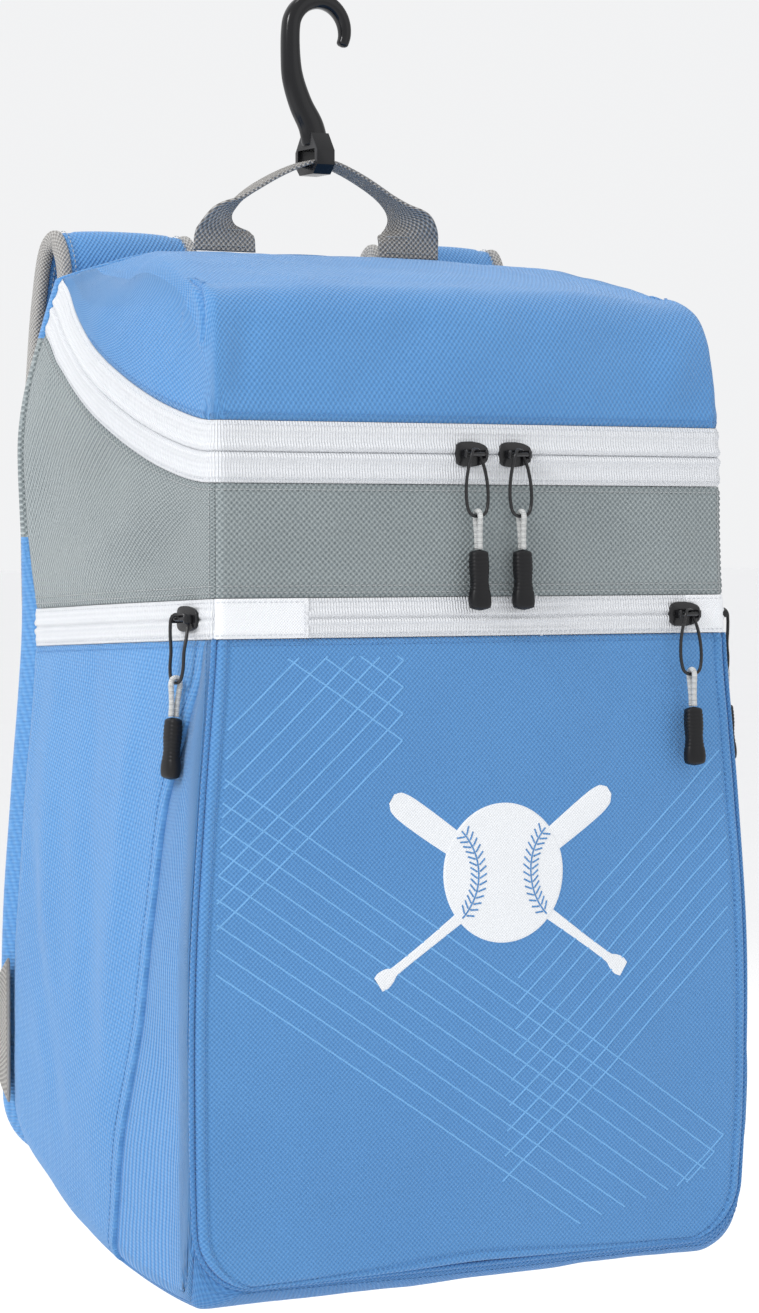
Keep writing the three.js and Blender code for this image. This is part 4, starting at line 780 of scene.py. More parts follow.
for cx in (-46.0, 46.0):
    bend = cx + 16 * np.sign(cx) * np.cos(z / BODY_H * 2 * np.pi)
    channel -= 5.0 * hump(x, bend, 7.0) * smooth(z, 60, 110) * (1 - smooth(z, 430, 470))
for cz in (120.0, 205.0, 290.0, 375.0):
    level = cz + 10 * np.cos(x / 60)
    channel -= 2.6 * hump(z, level, 5.0) * (1 - smooth(np.abs(x), 118, 134))
puff = 1.2 * noise(BK, 70.0, 21) + 0.5 * noise(BK, 28.0, 22)
BK[..., 1] += (channel + puff) * inside - 1.2 * hump(np.arange(len(rings)), 17, 1.5)[:, None]
rim_noise = 0.8 * noise(BK, 40.0, 23) * (1 - inside)
BK += -inward[None] * rim_noise[..., None]
flat_uv = stack(BK[..., 0] + 200, BK[..., 2])
cols = BK.shape[1]
pts = BK.reshape(-1, 3)
faces = face_out(pts, grid_faces(len(rings), cols, wrap_cols=True), np.array([0, 60.0, 280]))
split = 20
pad_rows = faces.reshape(len(rings) - 1, cols, 4)


def back_piece(name, material, rows, nodes, wrap=None):
    used = pad_rows[rows].reshape(-1, 4)
    if wrap is not None:
        middle = pts[used].mean(1)
        grey = (np.abs(middle[:, 0]) > 120) & (middle[:, 2] > 385) & (middle[:, 2] < 492)
        used = used[grey == wrap]
    ids, new = np.unique(used, return_inverse=True)
    obj = add_mesh(name, pts[ids], new.reshape(-1, 4).tolist(), flat_uv.reshape(-1, 2)[ids] / 1000, material,
                   "bag", nodes)
    return obj


rim_obj = back_piece("back_rim_cloth", m_pocket, slice(0, split), ["back_panel"], False)
wrap_obj = back_piece("back_rim_yoke", m_yoke, slice(0, split), ["back_panel"], True)
pad_obj = back_piece("back_pad_mesh", m_mesh, slice(split, None), ["back_panel"])


# Paths and bands
def catmull(points, count):
    p = np.array(points, float)
    n = len(p)
    ext = np.concatenate([[2 * p[0] - p[1]], p, [2 * p[-1] - p[-2]]])
    out = []
    for q in np.linspace(0, n - 1, count):
        i = min(int(q), n - 2)
        t = q - i
        a, b, c_, d = ext[i], ext[i + 1], ext[i + 2], ext[i + 3]
        d0, d1, d2 = (max(np.linalg.norm(v) ** 0.5, 1e-4) for v in (b - a, c_ - b, d - c_))
        m1 = ((b - a) / d0 - (c_ - a) / (d0 + d1) + (c_ - b) / d1) * d1
        m2 = ((c_ - b) / d1 - (d - b) / (d1 + d2) + (d - c_) / d2) * d1
        out.append((2 * t ** 3 - 3 * t ** 2 + 1) * b + (t ** 3 - 2 * t ** 2 + t) * m1
                   + (-2 * t ** 3 + 3 * t ** 2) * c_ + (t ** 3 - t ** 2) * m2)
    return np.array(out)


def frames(path, across):
    tan = unit(np.gradient(path, axis=0))
    across = np.broadcast_to(across, path.shape)
    across = unit(across - tan * np.sum(across * tan, 1, keepdims=True))
    return tan, across, np.cross(tan, across)


def section(count, power):
    a = np.linspace(0, 2 * np.pi, count, endpoint=False)
    ca, sa = np.cos(a), np.sin(a)
    return np.sign(ca) * np.abs(ca) ** power[0], np.sign(sa) * np.abs(sa) ** power[1]


def sweep(name, path, across, width, thick, material, nodes, power, count, body="bag",
          shift=0.0, crown=None, local=True, place=None):
    ac, out = frames(path, across)[1:]
    ca, sa = section(count, power)
    W = np.broadcast_to(width, len(path))[:, None]
    H = np.broadcast_to(thick, len(path))[:, None]
    off = ca[None] * W / 2 + shift
    lift = sa[None] * H / 2
    if crown is not None:
        lift = lift + crown(ca, sa)
    P = path[:, None] + ac[:, None] * off[..., None] + out[:, None] * lift[..., None]
    if place is not None:
        P = place(P)
    run = np.r_[0, np.cumsum(np.linalg.norm(np.diff(path, axis=0), axis=1))]
    around = np.linalg.norm(np.diff(np.r_[P[0], P[0][:1]], axis=0), axis=1)
    U = np.r_[0, np.cumsum(around)[:-1]]
    uv = stack(np.broadcast_to(U[None], P.shape[:2]), np.broadcast_to(run[:, None], P.shape[:2]))
    pts, uvs = P.reshape(-1, 3), uv.reshape(-1, 2)
    faces = grid_faces(len(path), count, wrap_cols=True)
    centre = P.mean(1)
    a = P[:, 0] - centre
    turn = np.cross(P[:-1, 1] - P[:-1, 0], P[1:, 0] - P[:-1, 0])
    flip = np.sum(turn * a[:-1]) < 0
    faces = (faces[:, ::-1] if flip else faces).tolist()
    first, final = list(range(count)), list(range((len(path) - 1) * count, len(path) * count))
    faces.append(first if flip else first[::-1])
    faces.append(final[::-1] if flip else final)
    return add_mesh(name, pts, faces, uvs / 1000, material, body, nodes, local)


STRAP = [(0, -3.5, 0, 0), (.01, -1.9, 0, 0), (.09, -.3, 0, .04), (.30, .55, 0, .10), (.55, .15, 0, .18),
         (.78, 0, .09, .30), (.90, 0, .22, .45), (1, 0, .38, .60), (.96, 0, .56, .75), (.82, 0, .74, .87),
         (.66, 0, .89, .95), (.58, 0, 1, 1)]
pad_face = float(back_at(STRAP_ROOT)) - 1 + 11.2 / 2
stitch_jobs = []


def strap_crown(ca, sa):
    """Fuller in the middle, with a groove under each row of stitches."""
    groove = .9 * hump(np.abs(ca[None]), .80, .03)
    return sa[None] * (1.4 * (1 - ca[None] ** 2) - groove)


for word, side in (("left", -1), ("right", 1)):
    middle = STRAP_OFFSET + side * STRAP_SPACING / 2
    raw = [(middle + side * STRAP_SPLAY * splay, pad_face + STRAP_LOOP * back,
            BODY_H + STRAP_RISE * rise - STRAP_DOWN * down) for back, rise, down, splay in STRAP]
    raw[0] = (raw[0][0], raw[0][1], STRAP_ROOT)
    path = catmull(raw, 150)
    obj = sweep(f"{word}_strap_pad", path, WORLD_X, STRAP_W, STRAP_T, m_strap,
                [f"{word}_shoulder_strap"], power=(.55, .42), count=64, crown=strap_crown)
    for edge, sign in (("outer", side), ("inner", -side)):
        sweep(f"{word}_strap_{edge}_edge", path, WORLD_X, EDGE_W, STRAP_T + 1, m_bind,
              [f"{word}_strap_{edge}_binding"], power=(.8, .7), count=24, shift=sign * 39.4)
    ac, out = frames(path, WORLD_X)[1:]
    for sgn in (-1, 1):
        for face_sign in (-1, 1):
            stitch_jobs.append(("grey", path + ac * sgn * 34.6 + out * face_sign * 4.9, out * face_sign))
    # Lower webbing and wing
    wz = WING_FOOT + WING_H / 2
    wx = float(half_at(wz) + side_bulge(SEAM_Y, wz)) + .35 + 1.1
    sh = np.linspace(0, 1, 30)
    wpath = stack(side * (wx + 1 - 6 * sh ** 2), SEAM_Y + 2 + WING_REACH * sh, wz + 0 * sh)
    sweep(f"{word}_wing_cloth", wpath, WORLD_Z, mix(WING_H, WING_END, sh), 2.2, m_web,
          [f"{word}_strap_wing"], power=(.12, .5), count=48)
    onward = unit(path[-1] - path[-8])
    foot = wpath[-1] + [-side * 3, 2.2 + .35 + 1, -8]
    top = path[-1] + onward * (.35 + 1.1)
    lead = top + onward * WEB_LEAD
    sag = mix(foot, lead, .5) + [side * 4, -2, 0]
    web = catmull([foot, sag, lead, top], 70)
    sweep(f"{word}_lower_webbing", web, WORLD_X, WEB_W, 2.0, m_web,
          [f"{word}_strap_webbing"], power=(.12, .5), count=36)

# A fine cord piped into the front panel's seam
piping = np.concatenate([FP[::-2, 0], FP[0, 1:-1:2], FP[::2, -1]])
for _ in range(3):
    piping[1:-1] = (piping[:-2] + piping[1:-1] * 2 + piping[2:]) / 4
sweep("front_seam_piping", piping + [0, .5, 0], WORLD_Y, 2.8, 2.8, m_bottom, [],
      power=(1, 1), count=10)

# Haul loop
ROUTE = np.array([(0, 0, 0, 0, 0), (1, 0, .20, 6, .05), (2, .02, .36, 38, .35), (3, .10, .50, 74, .75),
                  (4, .28, .67, 88, 1), (5, .56, .85, 90, 1), (6, .84, .98, 90, 1), (7, 1, 1, 90, 1)], float)
HAUL_RISE = 54.0
BEND_Z = BODY_H + HAUL_RISE + HOOK_SHANK + BASE_H - SLOT_H
haul_top = BEND_Z - HOOK_SHANK - BASE_H + SLOT_H / 2 + 2.5
haul_y = HINGE_Y + .35 + 1.25 + 1
foot_z = float(hinge(HAUL_SPACING / 2)[2]) + .35 + .8
key = np.linspace(0, 7, 80)
inw, up, turn, gather = (table_at(ROUTE, i, key) for i in (1, 2, 3, 4))
inw, gather = np.clip(inw, 0, 1), np.clip(gather, 0, 1)


def haul_arm(sign):
    return stack(HAUL_X + sign * HAUL_SPACING / 2 * (1 - inw), haul_y + 0 * inw,
                 foot_z + (haul_top - foot_z) * up)


hp = np.concatenate([haul_arm(-1), haul_arm(1)[::-1][1:]])
ang = np.radians(np.concatenate([turn, turn[::-1][1:]]))
gath = np.concatenate([gather, gather[::-1][1:]])
wid = mix(HAUL_W, HAUL_NARROW, gath)
tan = unit(np.gradient(hp, axis=0))
plane = stack(tan[:, 2], 0 * tan[:, 2], -tan[:, 0])
acr = plane * np.cos(ang)[:, None] + np.array([0, 1.0, 0]) * np.sin(ang)[:, None]


def loop_crown(ca, sa):
    """The band curls along its length where it is gathered."""
    return 2.6 * np.sin(np.pi * np.clip(gath, 0, 1))[:, None] * (ca[None] ** 2 - .4)


sweep("haul_webbing", hp, acr, wid, HAUL_T, m_web, ["haul_loop"], power=(.14, .5), count=44,
      crown=loop_crown)
for sgn in (-1, 1):
    cx = HAUL_X + sgn * HAUL_SPACING / 2
    for dz in (3.0, 12.0):
        xs = np.linspace(cx - 15, cx + 15, 40)
        line = stack(xs, np.full(40, haul_y - 1.25), np.full(40, foot_z + dz))
        stitch_jobs.append(("grey", line, np.broadcast_to([0, -1.0, 0], line.shape)))

# Hook
cxh, czh = HAUL_X, BEND_Z + HOOK_T / 2 - HOOK_BEND
ang_h = np.radians(np.linspace(-28, 180, 11))
hook_pts = [(cxh + HOOK_BEND * math.cos(a), haul_y, czh + HOOK_BEND * math.sin(a)) for a in ang_h]
for sd, dn in ((-1, .38), (-.92, .54), (-.62, .74), (-.25, .90), (-.10, 1.03)):
    hook_pts.append((cxh + HOOK_BEND * sd, haul_y, BEND_Z - HOOK_SHANK * dn))
hk = catmull(hook_pts, 150)
share = np.linspace(0, 1, 150)
swell = mix(.62, 1, np.minimum(share * 2.4, 1)) * HOOK_T
tip = np.sqrt(np.clip(1 - (1 - np.clip(share / .022, 0, 1)) ** 2, 0.02, 1))
broad = mix(1, HOOK_BROAD, smooth(share, .65, 1))
sweep("hook_stem", hk, WORLD_Y, swell * tip, swell * broad * tip, m_hook,
      ["hook"], power=(.8, .8), count=36)


def hook_base():
    wide = 13.0
    right_pts = [(wide * .45, 3), (wide, -BASE_H * .35), (wide, -BASE_H * .75), (wide * .62, -BASE_H)]
    out_pts = right_pts + [(-a, b) for a, b in right_pts[::-1]]
    half, low = HAUL_NARROW / 2 + 1.5, 11 * .45 - BASE_H
    high = low + SLOT_H
    in_pts = [(half * .5, high), (half, high), (half, low), (half * .5, low), (-half * .5, low), (-half, low),
              (-half, high), (-half * .5, high)]
    verts, faces = [], []
    x0 = HAUL_X - 1.7
    for dx in (-5.5, 5.5):
        for a, b in out_pts + in_pts:
            verts.append((x0 + dx, haul_y + a, BEND_Z - HOOK_SHANK + b))
    n = 8
    for i in range(n):
        j = (i + 1) % n
        faces.append([i, j, n + j, n + i])
        faces.append([2 * n + i, 3 * n + i, 3 * n + j, 2 * n + j])
        faces.append([i, 2 * n + i, 2 * n + j, j])
        faces.append([n + i, n + j, 3 * n + j, 3 * n + i])
    obj = add_mesh("hook_base", np.array(verts), faces, None, m_hook, "bag", ["hook"])
    bpy.context.view_layer.objects.active = obj
    bev = obj.modifiers.new("round", "BEVEL")
    bev.width, bev.segments, bev.limit_method, bev.angle_limit = .0013, 4, "ANGLE", math.radians(18)
    deps = bpy.context.evaluated_depsgraph_get()
    new = bpy.data.meshes.new_from_object(obj.evaluated_get(deps), depsgraph=deps)
    obj.modifiers.clear()
    obj.data = new
    new.polygons.foreach_set("use_smooth", np.ones(len(new.polygons), bool))


hook_base()

# Zipper pulls
RING = [(0, -.070, 32), (.48, -.058, 32), (.73, 0, 32), (.84, .11, 24), (.94, .26, 12), (1, .5, 0),
        (1, .74, 0), (.78, .9, 0), (.40, .955, 0)]
GRIP = np.array([[0, .62, .72], [.06, .80, .92], [.30, .86, 1], [.55, .80, .90], [.82, 1, 1], [.96, .90, .84],
                 [1, .60, .55]])


def ring_path():
    def at(row, s):
        reach, a = s * row[0] * RING_HALF, math.radians(row[2])
        return (reach * math.cos(a), reach * math.sin(a), -row[1] * RING_L)
    loop = [at(r, 1) for r in RING] + [(0, 0, -RING_LOW * RING_L)] + [at(r, -1) for r in RING[1:][::-1]]
    path = catmull(loop + loop[:3], 12 * (len(loop) + 2) + 1)
    return path[12:-13]


def rounded_block(size, centre, power, rows=14, count=36):
    """A block with soft edges, as rings along y."""
    t = np.linspace(-1, 1, rows)
    shell = np.maximum((1 - np.abs(t) ** 6) ** (1 / 6), .02)
    ca, sa = section(count, (power, power))
    along = np.broadcast_to(t[:, None] * size[1] / 2, (rows, count))
    return stack(ca[None] * size[0] / 2 * shell[:, None], along,
                 sa[None] * size[2] / 2 * shell[:, None]) + np.array(centre)


def blocks_mesh(name, blocks, material, nodes, body, place):
    pts, faces, uvs, base = [], [], [], 0
    for P in blocks:
        r, c_ = P.shape[:2]
        centre = P.reshape(-1, 3).mean(0)
        Q = P.reshape(-1, 3)
        f = face_out(Q, grid_faces(r, c_, wrap_cols=True), centre)
        faces += (f + base).tolist()
        faces += [[base + i for i in range(c_)], [base + (r - 1) * c_ + i for i in range(c_)][::-1]]
        pts.append(place(Q))
        uvs.append(stack(Q[:, 0] + Q[:, 1], Q[:, 2]))
        base += r * c_
    add_mesh(name, np.concatenate(pts), faces, np.concatenate(uvs) / 1000, material, body, nodes, False)


TILT = {"main_left": 3, "main_right": 3, "pocket": 4, "left_side": 4, "right_side": 4}
joints = {j["name"]: j for j in frame["joints"]}
for name, tilt in TILT.items():
    joint = joints[f"{name}_pull_swing"]
    origin = np.array(joint["pos_m"], float)
    xa = -np.array(joint["axis"], float)
    ya = np.cross([0, 0, 1.0], xa)
    base_rot = np.stack([xa, ya, [0, 0, 1.0]], 1)
    ca_, sa_ = math.cos(-math.radians(tilt)), math.sin(-math.radians(tilt))
    swing_rot = base_rot @ np.array([[1, 0, 0], [0, ca_, -sa_], [0, sa_, ca_]])

    def fixed(Q, o=origin, r=base_rot):
        return o + (Q @ r.T) / 1000

    def swung(Q, o=origin, r=swing_rot):
        return o + (Q @ r.T) / 1000

    body = f"{name}_pull"
    plate = rounded_block(SLIDER, (0, BAR_UP + SLIDER[1] / 2, 0), .5)
    nose = 1 - .22 * smooth(plate[..., 0], 0, 9.5)[..., None] * np.array([0, 0, 1.0])
    blocks = [plate * nose]
    for s_ in (-1, 1):
        blocks.append(rounded_block((1.6, 5.6, 4.4), (s_ * POST_SPACING / 2, 1.3, 0), .6))
    bar = rounded_block((2 * BAR_R, POST_SPACING + .6, 2 * BAR_R), (0, 0, 0), 1.0, rows=16, count=20)
    blocks.append(stack(bar[..., 1], bar[..., 0], bar[..., 2]))
    blocks_mesh(f"{name}_slider_body", blocks, m_metal, [f"{name}_slider"], "bag", fixed)

    rp = ring_path()
    ring = np.concatenate([rp, rp[:1]])
    a_, o_ = frames(ring, WORLD_Y)[1:]
    aa = np.linspace(0, 2 * np.pi, 12, endpoint=False)
    round_wire = np.cos(aa)[None, :, None] * a_[:-1, None] + np.sin(aa)[None, :, None] * o_[:-1, None]
    P = ring[:-1, None] + RING_WIRE * round_wire
    Q = P.reshape(-1, 3)
    f = grid_faces(len(P), 12, wrap_rows=True, wrap_cols=True)
    n0 = np.cross(Q[f[:, 1]] - Q[f[:, 0]], Q[f[:, 3]] - Q[f[:, 0]])
    ctr = np.repeat(ring[:-1], 12, axis=0)[f[:, 0]]
    f = f if np.sum(n0 * (Q[f[:, 0]] - ctr)) > 0 else f[:, ::-1]
    add_mesh(f"{name}_ring_wire", swung(Q), f.tolist(), stack(Q[:, 0], Q[:, 2]) / 1000, m_metal,
             body, [f"{name}_pull_ring"], False)

    cord_top, grip_top, lr, near = RING_LOW * RING_L, RING_L + CORD_L - 9, .85 + .3 + CORD_R, CORD_R + .15
    pts_c = [(0, -near, -grip_top + .3), (0, -near, -mix(cord_top, grip_top, .66)),
             (0, -mix(near, lr, .5), -mix(cord_top, grip_top, .33)), (0, -lr, -cord_top - CORD_R)]
    arc = [(0, lr * math.cos(a), -cord_top + lr * math.sin(a)) for a in np.radians(range(180, -1, -30))]
    back = [(x_, -y_, z_) for x_, y_, z_ in pts_c[::-1]]
    cpath = catmull(pts_c + arc + back, 120)
    sweep(f"{name}_cord_loop", cpath, WORLD_X, 2 * CORD_R, 2 * CORD_R, m_cord,
          [f"{name}_pull_cord"], body=body, power=(1, 1), count=16, local=False, place=swung)

    tg = np.linspace(0, 1, 70)
    wg, hg = table_at(GRIP, 1, tg), table_at(GRIP, 2, tg)
    from_end = np.clip(np.minimum(tg, 1 - tg) / .05, 0, 1)
    endcap = np.minimum(1, np.sqrt(np.clip(1 - (1 - from_end) ** 2, .05, 1)))
    rib = 1 - .045 * np.clip(np.cos((tg - .30) * 2 * np.pi / .062), 0, 1) * ((tg > .10) & (tg < .72))
    gp = stack(0 * tg, 0 * tg, -grip_top - GRIP_L * tg)
    sweep(f"{name}_grip_moulding", gp, WORLD_X, GRIP_W * wg * endcap * rib,
          GRIP_T * hg * endcap * rib, m_rubber, [f"{name}_pull_grip"], body=body,
          power=(.72, .72), count=32, local=False, place=swung)


# Stitches, as short raised threads along a line
def along_line(way, arr, q):
    return np.stack([np.interp(q, way, arr[:, i]) for i in range(3)], -1)


def stitches(name, jobs, material, pitch=3.1, run=2.1, thick=0.62):
    verts, faces, uvs = [], [], []
    base = 0
    a = np.linspace(0, 2 * np.pi, 6, endpoint=False)
    ends = np.array([[0, 1, 2, 3], [0, 3, 4, 5], [21, 20, 19, 18], [23, 22, 21, 18]])
    one = np.concatenate([grid_faces(4, 6, wrap_cols=True), ends])
    for line, normal in jobs:
        seg = np.linalg.norm(np.diff(line, axis=0), axis=1)
        s_ = np.r_[0, np.cumsum(seg)]
        count = int(s_[-1] / pitch)
        if count < 2:
            continue
        mids = (np.arange(count) + .5) * pitch
        c_ = along_line(s_, line, mids)
        t_ = unit(along_line(s_, line, mids + .5) - along_line(s_, line, mids - .5))
        n_ = along_line(s_, normal, mids)
        n_ = unit(n_ - t_ * np.sum(n_ * t_, 1, keepdims=True))
        b_ = np.cross(t_, n_)
        rings = []
        for pos, size in ((-.5, .30), (-.28, .95), (.28, .95), (.5, .30)):
            rings.append(c_[:, None] + t_[:, None] * pos * run
                         + (n_[:, None] * (np.sin(a)[None, :, None] * .42 + (.30 if abs(pos) < .4 else -.1))
                            + b_[:, None] * np.cos(a)[None, :, None] * .5) * thick * size)
        P = np.stack(rings, 1).reshape(-1, 3)
        verts.append(P)
        faces.append((one[None] + (np.arange(count) * 24)[:, None, None] + base).reshape(-1, 4))
        uvs.append(stack(P[:, 0] + P[:, 1], P[:, 2]))
        base += count * 24
    add_mesh(name, np.concatenate(verts), np.concatenate(faces).tolist(), np.concatenate(uvs) / 1000,
             material, "bag")


def row_of(grid, N, axis, dist, from_end=False):
    """A line over a displaced grid at a distance in mm from one edge."""
    L = lengths(grid, axis)
    if from_end:
        L = np.take(L, [-1], axis) - L
    arr = np.moveaxis(grid, axis, 0)
    nor = np.moveaxis(N, axis, 0)
    LL = np.moveaxis(L, axis, 0)
    k = np.abs(LL - dist).argmin(0)
    cols_ = np.arange(arr.shape[1])
    step = -1 if from_end else 1
    k2 = np.clip(np.where(LL[k, cols_] < dist, k + step, k - step), 0, len(LL) - 1)
    d1, d2 = LL[k, cols_], LL[k2, cols_]
    apart = np.abs(d2 - d1) > 1e-6
    t_ = np.where(apart, (dist - d1) / np.where(apart, d2 - d1, 1), 0)
    p = mix(arr[k, cols_], arr[k2, cols_], t_[:, None])
    n_ = nor[k, cols_]
    return p + n_ * THREAD_LIFT, n_


jobs = {"blue": [], "grey": [], "white": []}
for kind, line, n_ in stitch_jobs:
    jobs[kind].append((line, n_))
for word in ("left", "front", "right"):
    G, N_ = yokes[word]
    jobs["grey"] += [row_of(G, N_, 0, 2.6), row_of(G, N_, 0, 6.0), row_of(G, N_, 0, 3.2, True)]
    jobs["grey"].append(row_of(G, N_, 1, 3.0, word != "right"))
jobs["white"] += [row_of(LT, LTN, 0, 2.2), row_of(TT, TTN, 0, 2.2, True)]
jobs["white"] += [row_of(TAB1, TAB1N, 1, 2.4, True), row_of(TAB2, TAB2N, 1, 2.4), row_of(TAB1, TAB1N, 0, 1.8),
                  row_of(TAB1, TAB1N, 0, 1.8, True), row_of(PZ, PZN, 0, 1.8), row_of(PZ, PZN, 0, 1.8, True),
                  row_of(TAB2, TAB2N, 0, 1.8), row_of(TAB2, TAB2N, 0, 1.8, True)]
for word in ("left", "right"):
    G, N_ = sides_zip[word]
    jobs["white"] += [row_of(G, N_, 0, 1.8), row_of(G, N_, 0, 1.8, True)]
    G, N_ = side_grids[word, "pocket"]
    jobs["blue"] += [row_of(G, N_, 0, 6.5), row_of(G, N_, 1, 3.0)]
    G, N_ = side_grids[word, "gusset"]
    jobs["blue"] += [row_of(G, N_, 0, 4.0), row_of(G, N_, 1, 3.0)]
jobs["blue"] += [row_of(LIDQ[:, 40:-40], LIDN[:, 40:-40], 0, 3.4), row_of(FQ, FN, 0, 8.0),
                 row_of(FQ, FN, 0, 3.2, True), row_of(FQ, FN, 1, 8.0), row_of(FQ, FN, 1, 8.0, True),
                 row_of(BQ, BN, 0, 5.0)]
for sign, line in DARTS.items():
    off = LIDQ - (line[8:, None, None] + np.array([-sign * 3.2, 1.0, .6]))
    k = np.argmin(np.linalg.norm(off, axis=-1).reshape(len(line) - 8, -1), 1)
    jobs["blue"].append((LIDQ.reshape(-1, 3)[k], LIDN.reshape(-1, 3)[k]))
stitches("stitches_blue", jobs["blue"], m_thread_b)
stitches("stitches_grey", jobs["grey"], m_thread_g)
stitches("stitches_white", jobs["white"], m_thread_w, pitch=2.9, run=2.0, thick=.55)


# Printed lines and a plain ball on the front
def on_front(x, z, lift):
    """Places on the displaced front cloth, by its own grid."""
    zi = np.interp(z, zs, np.arange(len(zs)))
    i = np.clip(zi.astype(int), 0, len(zs) - 2)
    tz = zi - i
    hv = np.interp(z, zs, halves)
    cj = np.interp(np.clip(x / hv, -1, 1), c, np.arange(len(c)))
    j = np.clip(cj.astype(int), 0, len(c) - 2)
    tx = cj - j

    def pick(A):
        low, high = (mix(A[row, j], A[row, j + 1], tx[..., None]) for row in (i, i + 1))
        return mix(low, high, tz[..., None])
    return pick(FQ) + pick(FN) * lift


def add_print(name, Q, f, material):
    """A print's mesh, mapped flat from the front."""
    flat = stack(Q[:, 0] + 170, Q[:, 2]) / 1000
    add_mesh(name, Q, f.tolist(), flat, material, "bag")


def turned_forward(Q, f):
    nrm = np.cross(Q[f[:, 2]] - Q[f[:, 0]], Q[f[:, 3]] - Q[f[:, 1]])
    return f if np.sum(nrm[:, 1]) < 0 else f[:, ::-1]


def inside_front(x, z):
    hv = np.interp(z, zs, halves)
    return (np.abs(x) < hv - PRINT_MARGIN) & (z > low_z + PRINT_MARGIN) & (z < high_z - PRINT_MARGIN)


def ribbons(name, lines, material, width=.9, lift=.2, keep=None):
    pts, faces, base = [], [], 0
    for A, B in lines:
        A, B = np.array(A, float), np.array(B, float)
        n_ = max(int(np.linalg.norm(B - A) / 1.5), 2)
        t_ = np.linspace(0, 1, n_)
        C = mix(A[None], B[None], t_[:, None])
        side_ = np.array([-(B - A)[1], (B - A)[0]]) / np.linalg.norm(B - A)
        ok = inside_front(C[:, 0], C[:, 1])
        if keep is not None:
            ok &= keep(C[:, 0], C[:, 1])
        rows_ = []
        for off, up_ in ((-.5, .02), (-.32, 1), (.32, 1), (.5, .02)):
            q = C + side_ * off * width
            rows_.append(on_front(q[:, 0], q[:, 1], lift * up_))
        P = np.stack(rows_, 1)
        idx = np.arange(n_ * 4).reshape(n_, 4) + base
        for k in range(n_ - 1):
            if ok[k] and ok[k + 1]:
                for m in range(3):
                    faces.append([idx[k, m], idx[k + 1, m], idx[k + 1, m + 1], idx[k, m + 1]])
        pts.append(P.reshape(-1, 3))
        base += n_ * 4
    pts = np.concatenate(pts)
    f = np.array(faces)
    ids, new = np.unique(f, return_inverse=True)
    f = new.reshape(-1, 4)
    pts = pts[ids]
    nrm = np.cross(pts[f[:, 1]] - pts[f[:, 0]], pts[f[:, 3]] - pts[f[:, 0]])
    f = np.where((nrm[:, 1] > 0)[:, None], f[:, ::-1], f)
    add_print(name, pts, f, material)


BALL = (10.0, 212.0, 36.0)
FALL, CLIMB = 0.67, 0.88
lines = []
for k in range(9):
    s_ = 12.5 * k
    reach = 150 - 5.5 * k
    foot = 268 - s_ - FALL * (reach + 153)
    lines.append(((-153, 268 - s_), (reach, foot)))
    if k < 2:
        lines.append(((reach, foot), (reach - 60, foot - 60 * CLIMB)))
    lines.append(((152, 275 - s_), (18 - .8 * k, 275 - s_ - CLIMB * (134 + .8 * k))))
for k in range(4):
    turn_x, turn_z = -47 - .7 * k, 322 - 13.5 * k
    lines.append(((-153, turn_z - CLIMB * (turn_x + 153)), (turn_x, turn_z)))
    lines.append(((-153, turn_z + FALL * (turn_x + 153)), (turn_x, turn_z)))
for k in range(1, 5):
    lines.append(((-153, 229 + 13.5 * k), (-40, 229 + 13.5 * k + CLIMB * 113)))
lines = [(a, b) for a, b in lines if abs(a[0] - b[0]) + abs(a[1] - b[1]) > 8]
ribbons("front_stripes", lines, m_line, keep=lambda x, z: z > 24 + .25 * np.maximum(x - 60, 0))


def ball_print():
    """A plain round ball with two stitched seams, as a flat print."""
    r = np.linspace(0, 1, 46)
    a = np.linspace(0, 2 * np.pi, 160, endpoint=False)
    X_, Z_ = BALL[0] + BALL[2] * r[:, None] * np.cos(a), BALL[1] + BALL[2] * r[:, None] * np.sin(a)
    lift = .42 * (1 - smooth(r, .985, 1.0))[:, None] + 0 * X_
    P = on_front(X_, Z_, lift[..., None])
    Q = P.reshape(-1, 3)
    add_print("front_ball_print", Q, turned_forward(Q, grid_faces(46, 160, wrap_cols=True)), m_print)
    seams = []
    for sgn in (-1, 1):
        t_ = np.radians(np.linspace(-46, 46, 60))
        cx, rad_ = BALL[0] + sgn * BALL[2] * 1.30, BALL[2] * .86
        xs_, zs_ = cx - sgn * rad_ * np.cos(t_), BALL[1] + rad_ * np.sin(t_)
        ok = np.hypot(xs_ - BALL[0], zs_ - BALL[1]) < BALL[2] * .985
        arc = stack(xs_, zs_)[ok]
        seams += [(arc[i], arc[i + 1]) for i in range(len(arc) - 1)]
        for i in range(3, len(arc) - 3, 4):
            tx = unit(arc[i + 1] - arc[i])
            nx = np.array([-tx[1], tx[0]])
            for e in (-1, 1):
                seams.append((arc[i] + nx * e * .8, arc[i] + nx * e * 4.6 + tx * 2.6))
    ribbons("front_ball_seams", seams, m_front, width=1.2, lift=.62)


ball_print()

BAT = np.array([[0, 4.2], [.02, 5.0], [.045, 4.2], [.07, 2.5], [.30, 2.9], [.55, 4.6], [.75, 6.6], [.92, 7.2],
                [.98, 5.8], [1, 2.6]])


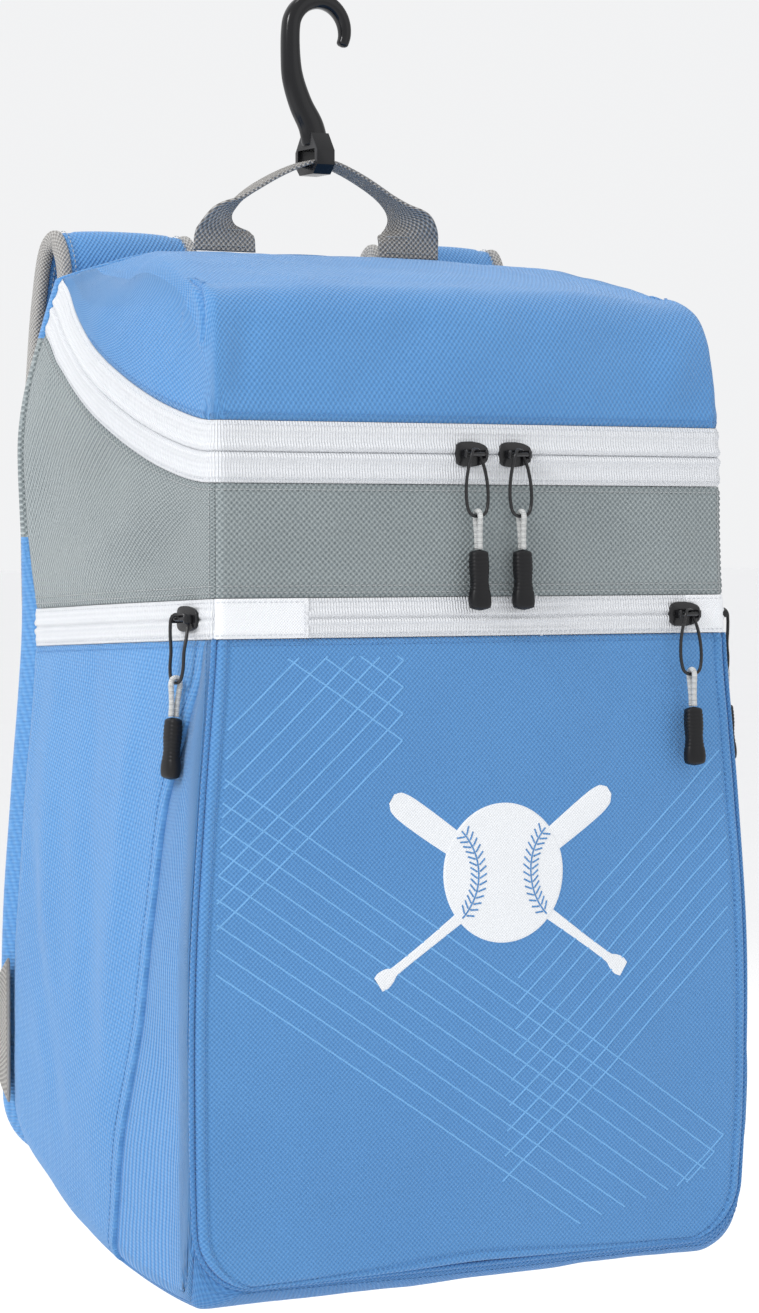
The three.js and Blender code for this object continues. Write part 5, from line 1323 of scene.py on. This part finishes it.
def bat_print(name, lean):
    """A plain bat as a flat print, crossing behind the ball."""
    t_ = np.linspace(0, 1, 170)
    wide = table_at(BAT, 1, t_)[:, None] * np.linspace(-1, 1, 13)[None]
    far = (t_[:, None] - .53) * 168 + 0 * wide
    cs, sn = math.cos(math.radians(lean)), math.sin(math.radians(lean))
    X_, Z_ = BALL[0] + far * cs - wide * sn, BALL[1] - 4 + far * sn + wide * cs
    lift = (.24 if lean > 90 else .32) * (1 - smooth(np.abs(np.linspace(-1, 1, 13)), .93, 1))[None] + 0 * X_
    Q = on_front(X_, Z_, lift[..., None]).reshape(-1, 3)
    add_print(name, Q, turned_forward(Q, grid_faces(170, 13)), m_print)


bat_print("front_bat_print_left", 146)
bat_print("front_bat_print_right", 34)

# Floor, light and camera
FLOOR_Z, FLOOR_REACH = -0.95, 70
mesh = bpy.data.meshes.new("floor")
corners = [(FLOOR_REACH * a, FLOOR_REACH * b, FLOOR_Z) for a, b in ((-1, -1), (1, -1), (1, 1), (-1, 1))]
mesh.from_pydata(corners, [], [[0, 1, 2, 3]])
floor = bpy.data.objects.new("floor", mesh)
bpy.context.scene.collection.objects.link(floor)
t = Tree("floor_paint")
coord = t.node("ShaderNodeTexCoord")
t.put(t.mix(t.noise(coord.outputs["Object"], 3.0, 2.0), (.965, .965, .97, 1), (.985, .985, .99, 1)),
      t.bsdf.inputs["Base Color"])
t.bsdf.inputs["Roughness"].default_value = 0.8
mesh.materials.append(t.mat)

world = bpy.data.worlds.new("studio")
bpy.context.scene.world = world
world.use_nodes = True
backdrop = world.node_tree.nodes["Background"]
backdrop.inputs["Color"].default_value = (.985, .99, 1.0, 1)
backdrop.inputs["Strength"].default_value = 0.90


MID = Vector((0, 0, -0.35))


def area(name, place, size, power):
    data = bpy.data.lights.new(name, "AREA")
    data.shape, data.size, data.energy = "DISK", size, power
    obj = bpy.data.objects.new(name, data)
    bpy.context.scene.collection.objects.link(obj)
    obj.location = place
    obj.rotation_euler = (MID - Vector(place)).to_track_quat("-Z", "Y").to_euler()


area("key", (-2.8, -0.9, 1.5), 1.1, 50)
area("fill", (1.9, -2.9, 0.9), 2.0, 4)
area("rim", (1.5, 2.4, 1.4), 1.8, 12)
area("top", (-0.4, 0.2, 2.6), 1.4, 16)

cam = bpy.data.cameras.new("camera")
SENSOR, FOCAL_PIXELS, PHOTO_PIXELS = 24.0, 3705.5, 1313
cam.sensor_fit, cam.sensor_height, cam.sensor_width = "VERTICAL", SENSOR, SENSOR
cam.lens = FOCAL_PIXELS * SENSOR / PHOTO_PIXELS
camera = bpy.data.objects.new("camera", cam)
bpy.context.scene.collection.objects.link(camera)
fwd = Vector((0.4846, 0.8742, -0.0314)).normalized()
right = fwd.cross(Vector((0, 0, 1))).normalized()
upv = right.cross(fwd)
rot = Matrix((right, upv, -fwd)).transposed()
C = (np.array([-968.1, -1749.0, 387.0]) - [0, 1, 4] + HANG) / 1000
camera.matrix_world = Matrix.Translation(Vector(C)) @ rot.to_4x4()
bpy.context.scene.camera = camera
bpy.context.scene.view_settings.view_transform = "Standard"
